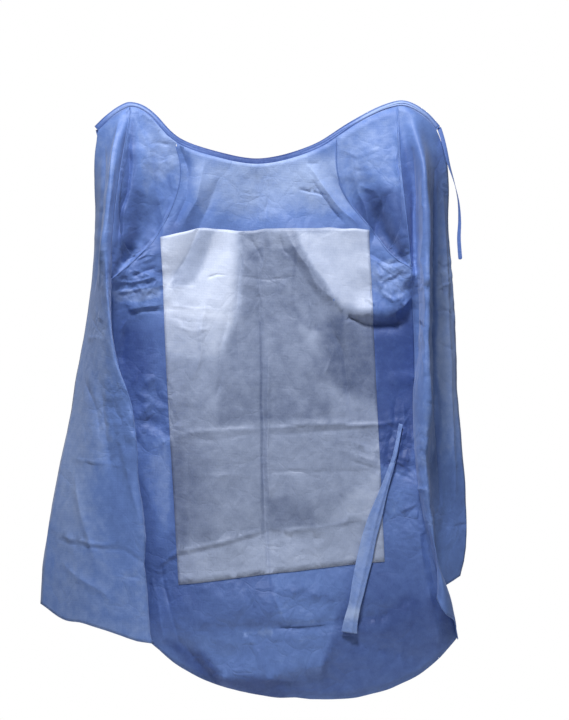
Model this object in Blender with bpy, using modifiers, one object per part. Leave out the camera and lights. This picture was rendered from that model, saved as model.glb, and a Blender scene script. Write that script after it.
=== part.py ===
"""Disposable surgical gown, held open by its neck edge and seen from its open back.

Metres. +X is the wearer's right, +Y the outside of the gown's front, +Z up.
The origin is midway between the two places where the neck edge is held.
Every cloth piece is a surface through a few named seams and sections, with a thin wall.
"""

import math
from collections import namedtuple

import bmesh
import bpy
from mathutils import Vector
from mathutils.bvhtree import BVHTree

# ---------------------------------------------------------------- driving sizes
CLOTH_WALL = 0.0012          # body and sleeves
TRIM_WALL = 0.0010           # reinforcement, belt
GAP = 0.0003                 # clearance between neighbouring pieces
NECK_GAP = 0.0006            # from the binding's lower edge to the cloth it is sewn to
TRIM_GAP = 0.0006            # from the front to the reinforcement, which narrows in folds

BINDING_WIDTH = 0.014
BINDING_WALL = 0.0024
TIE_WIDTH = 0.010
TIE_WALL = 0.0018
BELT_WIDTH = 0.034
BELT_LIFT = 0.004            # how far the belt hangs in front of the panels

RAGLAN_ROWS = 9              # rows from the neck down to the underarm
CHEST_ROW = 5                # row on which the reinforcement starts
FOOT_ROW = 21                # row on which the reinforcement ends
HEM_ROW = 25                 # last row of the body
EDGE_COLUMNS = 4             # columns between the reinforcement and each side of the front
TRIM_COLUMNS = 17            # columns across the reinforcement
BACK_COLUMNS = 10            # columns across each back panel
NECK_STEPS = 5               # steps along the neck edge of each sleeve
CHEST_SHARE = {"left": 0.62, "right": 0.64}   # how far down the front raglan the chest row is
SHARPEST_SEAM = math.radians(25)             # sharpest angle that a seam's clearance allows for

SAG_POWER = {"left": 2.6, "right": 3.2}      # how square a row sags: 2 is a parabola

# ---------------------------------------------------------------- colours
LINEAR = {
    "cloth": (0.22, 0.33, 0.62, 1.0),
    "lining": (0.52, 0.60, 0.76, 1.0),
    "knit": (0.80, 0.80, 0.82, 1.0),
    "tape": (0.17, 0.26, 0.55, 1.0),
}
ROUGHNESS = {"cloth": 0.62, "lining": 0.58, "knit": 0.85, "tape": 0.66}

# ---------------------------------------------------------------- seams and edges
Stop = namedtuple("Stop", "x y z")

# The neck edge from the wearer's left corner to the right one: two crests where it is
# lifted, and the sag between them.
NECK_EDGE = [
    Stop(-0.366, 0.012, -0.008),
    Stop(-0.340, 0.002, 0.014),
    Stop(-0.308, -0.003, 0.035),
    Stop(-0.278, -0.005, 0.043),
    Stop(-0.238, -0.001, 0.021),
    Stop(-0.190, 0.006, -0.030),
    Stop(-0.094, 0.014, -0.064),
    Stop(-0.006, 0.018, -0.076),
    Stop(0.103, 0.014, -0.047),
    Stop(0.188, 0.005, 0.004),
    Stop(0.258, -0.002, 0.038),
    Stop(0.300, -0.005, 0.044),
    Stop(0.345, 0.000, 0.022),
    Stop(0.376, 0.010, -0.008),
]

# Where each seam leaves the neck edge, by x.
BACK_NOTCH = {"left": -0.290, "right": 0.283}
FRONT_NOTCH = {"left": -0.185, "right": 0.146}

# Raglan seams below the neck edge, and the underarm where they meet.
FRONT_RAGLAN = {
    "left": [
        Stop(-0.179, 0.016, -0.100),
        Stop(-0.194, 0.024, -0.165),
        Stop(-0.234, 0.024, -0.243),
        Stop(-0.284, 0.004, -0.300),
    ],
    "right": [
        Stop(0.153, 0.016, -0.105),
        Stop(0.178, 0.026, -0.165),
        Stop(0.233, 0.026, -0.230),
        Stop(0.270, 0.006, -0.284),
    ],
}
BACK_RAGLAN = {
    "left": [
        Stop(-0.300, -0.024, -0.060),
        Stop(-0.312, -0.038, -0.150),
        Stop(-0.322, -0.042, -0.245),
    ],
    "right": [
        Stop(0.286, -0.016, -0.060),
        Stop(0.292, -0.034, -0.140),
        Stop(0.302, -0.038, -0.230),
    ],
}
UNDERARM = {"left": Stop(-0.327, -0.018, -0.338), "right": Stop(0.312, -0.020, -0.314)}

# Side seams from below the underarm to the hem. Row is the body row each stop lies on.
Seam = namedtuple("Seam", "row x y z")
SIDE_SEAM = {
    "left": [
        Seam(11, -0.334, 0.034, -0.425),
        Seam(13, -0.332, 0.054, -0.530),
        Seam(15, -0.318, 0.056, -0.645),
        Seam(18, -0.300, 0.056, -0.815),
        Seam(21, -0.290, 0.055, -1.010),
        Seam(25, -0.284, 0.048, -1.085),
    ],
    "right": [
        Seam(11, 0.322, 0.030, -0.420),
        Seam(13, 0.327, 0.050, -0.525),
        Seam(15, 0.324, 0.040, -0.630),
        Seam(18, 0.332, 0.006, -0.785),
        Seam(21, 0.360, -0.002, -0.935),
        Seam(23, 0.396, 0.012, -1.020),
        Seam(25, 0.416, 0.030, -1.108),
    ],
}

# ---------------------------------------------------------------- front panel
# Where the reinforcement's two sides cross a row, how far back the middle of the row
# lies, and how far it sags below its ends.
FrontRow = namedtuple("FrontRow", "row trim_left trim_right middle_y sag")
FRONT_ROWS = [
    FrontRow(5, -0.225, 0.224, 0.030, -0.012),
    FrontRow(9, -0.221, 0.229, 0.032, 0.002),
    FrontRow(13, -0.213, 0.238, 0.026, 0.000),
    FrontRow(17, -0.200, 0.248, 0.020, 0.000),
    FrontRow(21, -0.186, 0.257, 0.014, -0.006),
    FrontRow(23, -0.182, 0.262, -0.004, 0.050),
    FrontRow(25, -0.178, 0.268, 0.012, 0.140),
]
NECK_TRIM = (-0.152, 0.116)  # the same two crossings on the neck edge

# The largest folds of the front: a line from top to foot, how far it stands towards
# the open back (a trough if negative), and its half width.
Fold = namedtuple("Fold", "top_x top_z foot_x foot_z rise half_width")
FRONT_FOLDS = [
    Fold(0.080, -0.095, 0.197, -0.225, 0.012, 0.020),
    Fold(0.125, -0.085, 0.165, -0.170, -0.006, 0.018),
    Fold(-0.115, -0.100, -0.205, -0.240, 0.010, 0.026),
    Fold(-0.020, -0.110, -0.010, -0.420, -0.010, 0.042),
    Fold(0.040, -0.220, 0.165, -0.400, 0.013, 0.040),
    Fold(-0.080, -0.240, -0.200, -0.350, -0.010, 0.030),
    Fold(-0.130, -0.420, -0.110, -0.900, 0.010, 0.060),
    Fold(-0.010, -0.430, 0.005, -0.940, -0.009, 0.035),
    Fold(0.120, -0.500, 0.110, -0.900, 0.010, 0.055),
    Fold(-0.180, -1.060, 0.270, -1.035, 0.012, 0.030),
]

# ---------------------------------------------------------------- back panels
# Each row crosses a back panel from its seam over a crest towards the open back and on
# to the free centre-back edge.
BackRow = namedtuple("BackRow", "row fall_x fall_y crest_x crest_y crest_z turn_x turn_y "
                                "edge_x edge_y edge_z")
BACK_ROWS = {
    "left": [
        BackRow(1, -0.301, -0.028, -0.309, -0.034, -0.030, -0.336, -0.004, -0.367, 0.022, -0.060),
        BackRow(3, -0.314, -0.052, -0.322, -0.056, -0.110, -0.346, -0.006, -0.369, 0.044, -0.135),
        BackRow(6, -0.328, -0.062, -0.335, -0.066, -0.222, -0.354, 0.004, -0.371, 0.066, -0.235),
        BackRow(9, -0.326, -0.052, -0.330, -0.072, -0.336, -0.356, -0.002, -0.380, 0.082, -0.335),
        BackRow(11, -0.326, -0.028, -0.322, -0.080, -0.424, -0.358, -0.010, -0.391, 0.090, -0.410),
        BackRow(13, -0.318, -0.020, -0.304, -0.083, -0.528, -0.358, -0.020, -0.409, 0.090, -0.515),
        BackRow(14, -0.304, -0.020, -0.276, -0.084, -0.582, -0.352, -0.028, -0.419, 0.089, -0.565),
        BackRow(15, -0.296, -0.020, -0.266, -0.084, -0.636, -0.352, -0.032, -0.428, 0.088, -0.618),
        BackRow(18, -0.280, -0.020, -0.252, -0.088, -0.806, -0.358, -0.042, -0.456, 0.084, -0.772),
        BackRow(21, -0.270, -0.020, -0.241, -0.088, -0.970, -0.362, -0.050, -0.484, 0.078, -0.925),
        BackRow(25, -0.262, -0.022, -0.232, -0.084, -1.102, -0.360, -0.050, -0.492, 0.070, -1.040),
    ],
    "right": [
        BackRow(1, 0.300, -0.012, 0.322, -0.030, -0.030, 0.350, 0.000, 0.390, 0.026, -0.055),
        BackRow(3, 0.312, -0.006, 0.335, -0.064, -0.105, 0.358, -0.002, 0.399, 0.050, -0.125),
        BackRow(6, 0.322, -0.004, 0.341, -0.074, -0.215, 0.360, 0.016, 0.400, 0.072, -0.225),
        BackRow(9, 0.326, -0.004, 0.342, -0.078, -0.320, 0.360, 0.024, 0.411, 0.084, -0.330),
        BackRow(11, 0.327, -0.016, 0.342, -0.080, -0.420, 0.360, 0.026, 0.417, 0.088, -0.405),
        BackRow(13, 0.320, -0.020, 0.342, -0.080, -0.522, 0.361, 0.026, 0.419, 0.088, -0.500),
        BackRow(15, 0.317, -0.022, 0.340, -0.076, -0.622, 0.361, 0.024, 0.423, 0.086, -0.598),
        BackRow(18, 0.326, -0.030, 0.343, -0.060, -0.772, 0.358, 0.018, 0.434, 0.076, -0.735),
        BackRow(21, 0.363, -0.032, 0.362, -0.050, -0.915, 0.362, 0.000, 0.439, 0.056, -0.870),
        BackRow(23, 0.392, -0.024, 0.374, -0.050, -0.982, 0.364, -0.012, 0.434, 0.046, -0.925),
        BackRow(25, 0.408, -0.004, 0.380, -0.044, -1.042, 0.364, -0.022, 0.423, 0.036, -0.976),
    ],
}

# ---------------------------------------------------------------- sleeves
# Rings below the armhole: centre, half width across and half depth front to back,
# and how far the far side of the ring stands above its near side.
Ring = namedtuple("Ring", "x y z half_width half_depth slope")
SLEEVE_RINGS = {
    "left": [
        Ring(-0.270, 0.072, -0.290, 0.054, 0.030, 0.060),
        Ring(-0.268, 0.104, -0.370, 0.076, 0.032, 0.050),
        Ring(-0.262, 0.122, -0.480, 0.086, 0.030, 0.010),
        Ring(-0.256, 0.126, -0.620, 0.076, 0.030, 0.000),
        Ring(-0.254, 0.122, -0.770, 0.060, 0.027, 0.000),
    ],
    "right": [
        Ring(0.252, 0.072, -0.280, 0.052, 0.030, 0.060),
        Ring(0.258, 0.104, -0.364, 0.076, 0.032, 0.050),
        Ring(0.254, 0.122, -0.480, 0.086, 0.030, 0.010),
        Ring(0.250, 0.126, -0.620, 0.076, 0.030, 0.000),
        Ring(0.250, 0.122, -0.776, 0.060, 0.027, 0.000),
    ],
}
RINGS_PER_STAGE = (4, 2, 2, 1, 1)     # rings made between one table row and the next
THROAT_EASE = 0.30                    # how far the armhole runs on before it turns in
THROAT_RETREAT = 0.022                # how far it has gone back by then
CUFF_HALF_WIDTH = 0.044
CUFF_HALF_DEPTH = 0.020
CUFF_LENGTH = 0.066
CUFF_RINGS = 3

# ---------------------------------------------------------------- ties and belt
TIE_ROUTE = {
    "right": [
        Stop(0.3740, 0.0126, -0.0100),
        Stop(0.3805, 0.0115, -0.0310),
        Stop(0.3870, 0.0095, -0.0560),
        Stop(0.3950, 0.0080, -0.0920),
        Stop(0.4060, 0.0070, -0.1290),
        Stop(0.4150, 0.0065, -0.1700),
        Stop(0.4175, 0.0060, -0.2120),
        Stop(0.4160, 0.0060, -0.2500),
        Stop(0.4190, 0.0060, -0.2950),
    ],
    "left": [
        Stop(-0.3600, 0.0150, -0.0140),
        Stop(-0.3540, 0.0210, -0.0400),
        Stop(-0.3500, 0.0280, -0.0750),
        Stop(-0.3480, 0.0360, -0.1200),
        Stop(-0.3480, 0.0420, -0.1650),
        Stop(-0.3490, 0.0480, -0.2100),
        Stop(-0.3500, 0.0530, -0.2550),
        Stop(-0.3510, 0.0560, -0.3060),
    ],
}
TIE_TURN = {"right": 150.0, "left": 20.0}     # degrees that a tie twists on its way down
TIE_STEPS = 16

# The belt's middle line, and how much of its width is turned towards the open back.
BeltStop = namedtuple("BeltStop", "x z width_share")
BELT_ROUTE = [
    BeltStop(0.290, -0.648, 0.55),
    BeltStop(0.280, -0.713, 0.55),
    BeltStop(0.259, -0.777, 0.65),
    BeltStop(0.235, -0.852, 0.80),
    BeltStop(0.222, -0.895, 1.00),
    BeltStop(0.214, -0.937, 1.00),
    BeltStop(0.203, -0.980, 1.00),
    BeltStop(0.193, -1.031, 1.00),
    BeltStop(0.184, -1.060, 0.95),
    BeltStop(0.180, -1.092, 1.00),
]
BELT_STEPS = 18


# ---------------------------------------------------------------- curves
def smooth_through(knots, values, at):
    """Value at `at` on a smooth curve through values at rising knots."""
    last = len(knots) - 1
    at = min(max(at, knots[0]), knots[last])
    i = 0
    while i < last - 1 and at > knots[i + 1]:
        i += 1
    span = knots[i + 1] - knots[i]
    f = (at - knots[i]) / span

    def slope(j):
        low, high = max(j - 1, 0), min(j + 1, last)
        return (values[high] - values[low]) / (knots[high] - knots[low])

    m0, m1 = slope(i) * span, slope(i + 1) * span
    a, b = values[i], values[i + 1]
    return (a * (2 * f**3 - 3 * f**2 + 1) + m0 * (f**3 - 2 * f**2 + f)
            + b * (3 * f**2 - 2 * f**3) + m1 * (f**3 - f**2))


class Route:
    """A smooth space curve through points, read by its length from 0 to 1."""

    def __init__(self, points):
        self.points = [Vector(p) for p in points]
        self.knots = [0.0]
        for a, b in zip(self.points, self.points[1:]):
            self.knots.append(self.knots[-1] + (b - a).length)
        self.length = self.knots[-1]

    def at(self, share):
        d = share * self.length
        return Vector([smooth_through(self.knots, [p[k] for p in self.points], d) for k in range(3)])

    def along(self, share):
        step = 0.002
        return (self.at(min(share + step, 1)) - self.at(max(share - step, 0))).normalized()

    def share_at_x(self, x):
        low, high = 0.0, 1.0
        for _ in range(40):
            middle = (low + high) / 2
            low, high = (middle, high) if self.at(middle).x < x else (low, middle)
        return (low + high) / 2


NECK = Route([(p.x, p.y, p.z) for p in NECK_EDGE])


def below_neck(share, depth):
    """A point `depth` below the neck edge, square to it in the plane of the front."""
    along = NECK.along(share)
    down = Vector((along.z, 0.0, -along.x)).normalized()
    return NECK.at(share) + down * depth


def neck_point(share):
    """Top edge of the cloth, just under the binding."""
    return below_neck(share, BINDING_WIDTH + NECK_GAP)


# ---------------------------------------------------------------- seam lines
def raglan(table, notch, side):
    """Route of one raglan seam from the neck edge to the underarm."""
    top = neck_point(NECK.share_at_x(notch[side]))
    stops = [(p.x, p.y, p.z) for p in table[side]]
    return Route([top] + stops + [tuple(UNDERARM[side])])


FRONT_SEAM = {side: raglan(FRONT_RAGLAN, FRONT_NOTCH, side) for side in ("left", "right")}
BACK_SEAM = {side: raglan(BACK_RAGLAN, BACK_NOTCH, side) for side in ("left", "right")}


def side_seam(side, row):
    """Point of the side seam on a body row at or below the underarm."""
    arm = UNDERARM[side]
    rows = [Seam(RAGLAN_ROWS, arm.x, arm.y, arm.z)] + SIDE_SEAM[side]
    knots = [r.row for r in rows]
    return Vector([smooth_through(knots, [getattr(r, k) for r in rows], row) for k in "xyz"])


def front_seam(side, row):
    """The front's edge: its raglan seam down to the underarm, then the side seam."""
    if row > RAGLAN_ROWS:
        return side_seam(side, row)
    chest = CHEST_SHARE[side]
    if row <= CHEST_ROW:
        return FRONT_SEAM[side].at(chest * row / CHEST_ROW)
    return FRONT_SEAM[side].at(chest + (1 - chest) * (row - CHEST_ROW) / (RAGLAN_ROWS - CHEST_ROW))


def back_seam(side, row):
    """A back panel's edge: its own raglan seam, then the side seam."""
    if row > RAGLAN_ROWS:
        return side_seam(side, row)
    return BACK_SEAM[side].at(row / RAGLAN_ROWS)


def open_angle_edge(seam, own, others):
    """The edge of a wall that keeps clear of the walls it meets at a seam.

    Two walls that meet at a sharp angle touch before their middle surfaces do, so the
    sharper the angle, the farther the edge keeps back.
    """
    inward = (own - seam).normalized()
    angle = min(inward.angle((other - seam).normalized()) for other in others)
    step = GAP * 2 + CLOTH_WALL / 2 / math.tan(max(angle, SHARPEST_SEAM) / 2)
    return seam + inward * step


# ---------------------------------------------------------------- surfaces
def table_at(rows, row, key):
    return smooth_through([r.row for r in rows], [getattr(r, key) for r in rows], row)


def fold_height(x, z):
    """How far the folds of the front stand towards the open back at a place."""
    total = 0.0
    for fold in FRONT_FOLDS:
        top, foot = Vector((fold.top_x, fold.top_z)), Vector((fold.foot_x, fold.foot_z))
        line = foot - top
        place = Vector((x, z)) - top
        share = place.dot(line) / line.length_squared
        beyond = max(0.0, -share, share - 1.0) * line.length
        across = (place - line * share).length
        reach = fold.half_width
        total += fold.rise * math.exp(-(across**2 + 0.5 * beyond**2) / (reach * reach))
    return total


def front_columns():
    return EDGE_COLUMNS * 2 + TRIM_COLUMNS


def front_x(column, left, trim_left, trim_right, right):
    """x of a column on a row: even steps to, across and past the reinforcement."""
    if column <= EDGE_COLUMNS:
        return left + (trim_left - left) * column / EDGE_COLUMNS
    column -= EDGE_COLUMNS
    if column <= TRIM_COLUMNS:
        return trim_left + (trim_right - trim_left) * column / TRIM_COLUMNS
    column -= TRIM_COLUMNS
    return trim_right + (right - trim_right) * column / EDGE_COLUMNS


def front_body_point(row, column):
    """Middle surface of the front from the chest row down, without its folds."""
    left, right = front_seam("left", row), front_seam("right", row)
    x = front_x(column, left.x, table_at(FRONT_ROWS, row, "trim_left"),
                table_at(FRONT_ROWS, row, "trim_right"), right.x)
    share = (x - left.x) / (right.x - left.x)
    off_centre = abs(2 * share - 1)
    z = left.z + (right.z - left.z) * share
    side, edge_y = ("left", left.y) if share < 0.5 else ("right", right.y)
    z -= table_at(FRONT_ROWS, row, "sag") * (1 - off_centre ** SAG_POWER[side])
    middle_y = table_at(FRONT_ROWS, row, "middle_y")
    y = middle_y + (edge_y - middle_y) * off_centre**4
    return Vector((x, y, z))


def front_point(row, column):
    """Middle surface of the front panel."""
    if row >= CHEST_ROW:
        point = front_body_point(row, column)
    else:
        # between the neck edge and the chest: a patch that also meets both raglan seams
        down = row / CHEST_ROW
        across = column / front_columns()
        ends = [neck_point(NECK.share_at_x(FRONT_NOTCH[s])) for s in ("left", "right")]
        x = front_x(column, FRONT_NOTCH["left"], *NECK_TRIM, FRONT_NOTCH["right"])
        top = neck_point(NECK.share_at_x(x))
        point = top.lerp(front_body_point(CHEST_ROW, column), down)
        for side, weight in (("left", 1 - across), ("right", across)):
            corner = 0 if side == "left" else front_columns()
            straight = ends[0 if side == "left" else 1].lerp(front_body_point(CHEST_ROW, corner), down)
            point += (front_seam(side, row) - straight) * weight
    across = column / front_columns()
    fade = min(1.0, 6 * across, 6 * (1 - across)) * min(1.0, row / 2)
    point.y -= fold_height(point.x, point.z) * fade
    return point


def back_point(side, row, column):
    """Middle surface of a back panel; column 0 is its seam, the last one the free edge."""
    seam = back_seam(side, row)
    rows = BACK_ROWS[side]
    first = rows[0].row
    share = column / BACK_COLUMNS
    if row < first:
        # fan from the neck edge down to the first table row
        end = 0.0 if side == "left" else 1.0
        notch = NECK.share_at_x(BACK_NOTCH[side])
        top = neck_point(notch + (end - notch) * share)
        low = back_point(side, first, column)
        f = row / first
        straight = neck_point(notch).lerp(back_point(side, first, 0), f)
        point = top.lerp(low, f)
        point.y += (low.y - top.y) * (smooth_rise(f) - f)
        return point + (seam - straight) * (1 - share)
    crest_z = table_at(rows, row, "crest_z")
    edge_z = table_at(rows, row, "edge_z")
    stops = [seam]
    heights = {"fall": seam.z + (crest_z - seam.z) * 0.6, "crest": crest_z,
               "turn": crest_z + (edge_z - crest_z) * 0.5, "edge": edge_z}
    for name, z in heights.items():
        stops.append(Vector((table_at(rows, row, name + "_x"), table_at(rows, row, name + "_y"), z)))
    return Route(stops).at(share)


def smooth_rise(f):
    return f * f * (3 - 2 * f)


# ---------------------------------------------------------------- meshes and objects
def grid_mesh(name, point_at, rows, columns, ring=False):
    """A surface of triangles through point_at(row, column), closed across if it is a ring."""
    mesh = bmesh.new()
    across = columns if ring else columns + 1
    verts = [[mesh.verts.new(point_at(r, c)) for c in range(across)] for r in range(rows + 1)]
    for r in range(rows):
        for c in range(columns):
            d = (c + 1) % across
            a, b, e, f = verts[r][c], verts[r][d], verts[r + 1][d], verts[r + 1][c]
            mesh.faces.new((a, f, e))
            mesh.faces.new((a, e, b))
    mesh.normal_update()
    data = bpy.data.meshes.new(name)
    mesh.to_mesh(data)
    mesh.free()
    return data


def add_piece(name, data, finish, wall, collection):
    """One cloth piece: its middle surface with a wall laid evenly on both sides."""
    piece = bpy.data.objects.new(name, data)
    collection.objects.link(piece)
    data.materials.append(finish)
    if wall:
        solid = piece.modifiers.new("wall", "SOLIDIFY")
        solid.thickness = wall
        solid.offset = 0.0
        solid.use_even_offset = True
        solid.use_rim = True
        solid.use_quality_normals = True
    return piece


def finish_material(name):
    material = bpy.data.materials.new(name)
    material.use_nodes = True
    shader = material.node_tree.nodes["Principled BSDF"]
    shader.inputs["Base Color"].default_value = LINEAR[name]
    shader.inputs["Roughness"].default_value = ROUGHNESS[name]
    shader.inputs["Metallic"].default_value = 0.0
    material.diffuse_color = LINEAR[name]
    return material


# ---------------------------------------------------------------- pieces
def front_inside(side, row):
    return front_point(row, 1 if side == "left" else front_columns() - 1)


def back_inside(side, row):
    return back_point(side, row, 1)


def build_front(sleeves, finish, collection):
    columns = front_columns()

    def point(row, column):
        here = front_point(row, column)
        if 0 < column < columns:
            return here
        side = "left" if column == 0 else "right"
        others = []
        if row <= RAGLAN_ROWS:
            others.append(sleeves[side][1][RAGLAN_ROWS - row])
        if row >= RAGLAN_ROWS:
            others.append(back_inside(side, row))
        return open_angle_edge(here, front_inside(side, row), others)

    data = grid_mesh("front_panel", point, HEM_ROW, columns)
    return add_piece("front_panel", data, finish, CLOTH_WALL, collection)


def build_reinforcement(front, finish, collection):
    """The second layer: the front's own points, moved out towards the open back."""
    columns = front_columns() + 1
    lift = CLOTH_WALL / 2 + TRIM_GAP + TRIM_WALL / 2

    def point(row, column):
        vertex = front.data.vertices[(row + CHEST_ROW) * columns + column + EDGE_COLUMNS]
        return vertex.co + facing_back(vertex.normal) * lift

    data = grid_mesh("reinforcement_panel", point, FOOT_ROW - CHEST_ROW, TRIM_COLUMNS)
    return add_piece("reinforcement_panel", data, finish, TRIM_WALL, collection)


def facing_back(normal):
    return normal if normal.y < 0 else -normal


def build_back(side, sleeves, finish, collection):
    loop = sleeves[side][1]

    def point(row, column):
        here = back_point(side, row, column)
        if column:
            return here
        others = []
        if row <= RAGLAN_ROWS:
            others.append(loop[(len(loop) - (RAGLAN_ROWS - row)) % len(loop)])
        if row >= RAGLAN_ROWS:
            others.append(front_inside(side, row))
        return open_angle_edge(here, back_inside(side, row), others)

    name = "back_panel_" + side
    return add_piece(name, grid_mesh(name, point, HEM_ROW, BACK_COLUMNS), finish, CLOTH_WALL, collection)


def neck_shares(side):
    """Steps along the neck edge of a sleeve, from its front notch to its back notch."""
    start, end = NECK.share_at_x(FRONT_NOTCH[side]), NECK.share_at_x(BACK_NOTCH[side])
    return [start + (end - start) * i / NECK_STEPS for i in range(NECK_STEPS + 1)]


def armhole(side):
    """The armhole's loop: up the front raglan, along the neck edge, down the back raglan."""
    loop = [front_seam(side, RAGLAN_ROWS - i) for i in range(RAGLAN_ROWS)]
    loop += [neck_point(share) for share in neck_shares(side)]
    loop += [back_seam(side, i) for i in range(1, RAGLAN_ROWS)]
    return loop


def armhole_edge(side, loop, inner):
    """The sleeve's own edge: it keeps clear of the front and back along the raglans."""
    edge = []
    for i, (here, own) in enumerate(zip(loop, inner)):
        others = []
        if i <= RAGLAN_ROWS:
            others.append(front_inside(side, RAGLAN_ROWS - i))
        if i == 0 or i >= RAGLAN_ROWS + NECK_STEPS:
            others.append(back_inside(side, (i - RAGLAN_ROWS - NECK_STEPS) % RAGLAN_ROWS if i else RAGLAN_ROWS))
        edge.append(open_angle_edge(here, own, others) if others else here)
    return edge


def ring_loop(ring, count, side):
    """A ring's points in the armhole's order: near side, inner side, far side, outer side."""
    turn = 1 if side == "left" else -1
    loop = []
    for i in range(count):
        angle = 2 * math.pi * i / count
        across, away = turn * math.sin(angle), -math.cos(angle)
        loop.append(Vector((ring.x + ring.half_width * across,
                            ring.y + ring.half_depth * away,
                            ring.z + ring.slope * away / 2)))
    return loop


def sleeve_loops(side):
    """All the rings of a sleeve, from its armhole to its wrist."""
    first = armhole(side)
    tables = [ring_loop(r, len(first), side) for r in SLEEVE_RINGS[side]]
    keys = list(range(len(tables)))
    centre = sum(first, Vector()) / len(first)
    loops = [first]
    for stage, steps in enumerate(RINGS_PER_STAGE):
        for step in range(1, steps + 1):
            f = step / steps
            if stage == 0:
                loops.append([armhole_rail(a, b, centre, f) for a, b in zip(first, tables[0])])
            else:
                at = stage - 1 + f
                loops.append([Vector([smooth_through(keys, [t[i][k] for t in tables], at)
                                      for k in range(3)]) for i in range(len(first))])
    return loops


def armhole_rail(start, end, centre, f):
    """A rail from the armhole to the throat: first in the cloth's own plane, then down."""
    inward = Vector((centre.x - start.x, 0.0, centre.z - start.z)) * THROAT_EASE
    inward.y = THROAT_RETREAT
    first, second = start + inward, end + Vector((0.0, -0.010, 0.045))
    g = 1 - f
    return start * g**3 + first * 3 * g * g * f + second * 3 * g * f * f + end * f**3


def build_sleeve(side, sleeves, finish, collection):
    loops = sleeves[side]
    loops = [armhole_edge(side, loops[0], loops[1])] + loops[1:]
    name = "sleeve_" + side
    data = grid_mesh(name, lambda r, c: loops[r][c], len(loops) - 1, len(loops[0]), ring=True)
    return add_piece(name, data, finish, CLOTH_WALL, collection)


def build_cuff(side, finish, collection):
    """The knitted cuff, narrower than the sleeve end that is gathered onto it."""
    wrist = SLEEVE_RINGS[side][-1]
    count = len(armhole(side))
    top = wrist.z - GAP * 2

    def point(row, column):
        f = row / CUFF_RINGS
        narrow = smooth_rise(min(1.0, 2 * f))
        ring = Ring(wrist.x, wrist.y, top - CUFF_LENGTH * f,
                    wrist.half_width + (CUFF_HALF_WIDTH - wrist.half_width) * narrow,
                    wrist.half_depth + (CUFF_HALF_DEPTH - wrist.half_depth) * narrow, 0.0)
        return ring_loop(ring, count, side)[column]

    name = "cuff_" + side
    data = grid_mesh(name, point, CUFF_RINGS, count, ring=True)
    return add_piece(name, data, finish, CLOTH_WALL * 1.5, collection)


def build_binding(finish, collection):
    """The strip folded along the whole neck edge, stepped like the cloth below it."""
    left, right = neck_shares("left"), neck_shares("right")
    back = [i / BACK_COLUMNS for i in range(BACK_COLUMNS)]
    front = [front_x(c, FRONT_NOTCH["left"], *NECK_TRIM, FRONT_NOTCH["right"])
             for c in range(1, front_columns())]
    shares = [left[-1] * f for f in back] + left[::-1]
    shares += [NECK.share_at_x(x) for x in front]
    shares += right + [1 - (1 - right[-1]) * f for f in reversed(back)]

    def point(row, column):
        return below_neck(shares[row], BINDING_WIDTH * column)

    data = grid_mesh("neck_binding", point, len(shares) - 1, 1)
    return add_piece("neck_binding", data, finish, BINDING_WALL, collection)


def build_tie(side, finish, collection):
    """A free end of the binding: a narrow strip that twists as it hangs."""
    route = Route([tuple(p) for p in TIE_ROUTE[side]])

    def point(row, column):
        f = row / TIE_STEPS
        angle = math.radians(TIE_TURN[side]) * smooth_rise(f)
        across = Vector((math.cos(angle), math.sin(angle), 0.0))
        across -= route.along(f) * across.dot(route.along(f))
        return route.at(f) + across.normalized() * TIE_WIDTH * (column - 0.5)

    name = "neck_tie_" + side
    return add_piece(name, grid_mesh(name, point, TIE_STEPS, 1), finish, TIE_WALL, collection)


def build_belt(panels, finish, collection):
    """The inner belt: it hangs from the side seam in front of the panels behind it."""
    bpy.context.view_layer.update()
    graph = bpy.context.evaluated_depsgraph_get()
    trees = [BVHTree.FromObject(panel, graph) for panel in panels]

    def surface_y(x, z):
        hits = [tree.ray_cast(Vector((x, -1.0, z)), Vector((0.0, 1.0, 0.0)))[0] for tree in trees]
        return min(hit.y for hit in hits if hit)

    middle = Route([(p.x, 0.0, p.z) for p in BELT_ROUTE])
    shares = [i / (len(BELT_ROUTE) - 1) for i in range(len(BELT_ROUTE))]

    def point(row, column):
        f = row / BELT_STEPS
        centre, along = middle.at(f), middle.along(f)
        across = Vector((-along.z, 0.0, along.x)).normalized()
        width = BELT_WIDTH * smooth_through(shares, [p.width_share for p in BELT_ROUTE], f)
        here = centre + across * width * (column / 2 - 0.5)
        nearest = min(surface_y(here.x + dx, here.z + dz)
                      for dx in (-0.012, 0.0, 0.012) for dz in (-0.015, 0.0, 0.015))
        here.y = nearest - BELT_LIFT
        return here

    data = grid_mesh("waist_belt", point, BELT_STEPS, 2)
    return add_piece("waist_belt", data, finish, TRIM_WALL, collection)


def clear_scene():
    for thing in list(bpy.data.objects):
        bpy.data.objects.remove(thing, do_unlink=True)


def main():
    clear_scene()
    collection = bpy.data.collections.new("surgical_gown")
    bpy.context.scene.collection.children.link(collection)
    finish = {name: finish_material(name) for name in LINEAR}

    sleeves = {side: sleeve_loops(side) for side in ("left", "right")}
    front = build_front(sleeves, finish["cloth"], collection)
    trim = build_reinforcement(front, finish["lining"], collection)
    for side in ("left", "right"):
        build_back(side, sleeves, finish["cloth"], collection)
        build_sleeve(side, sleeves, finish["cloth"], collection)
        build_cuff(side, finish["knit"], collection)
        build_tie(side, finish["tape"], collection)
    build_binding(finish["tape"], collection)
    build_belt([front, trim], finish["cloth"], collection)


main()
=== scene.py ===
import math

import bmesh
import bpy
import numpy as np
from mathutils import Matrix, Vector, kdtree
from mathutils.bvhtree import BVHTree


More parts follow.
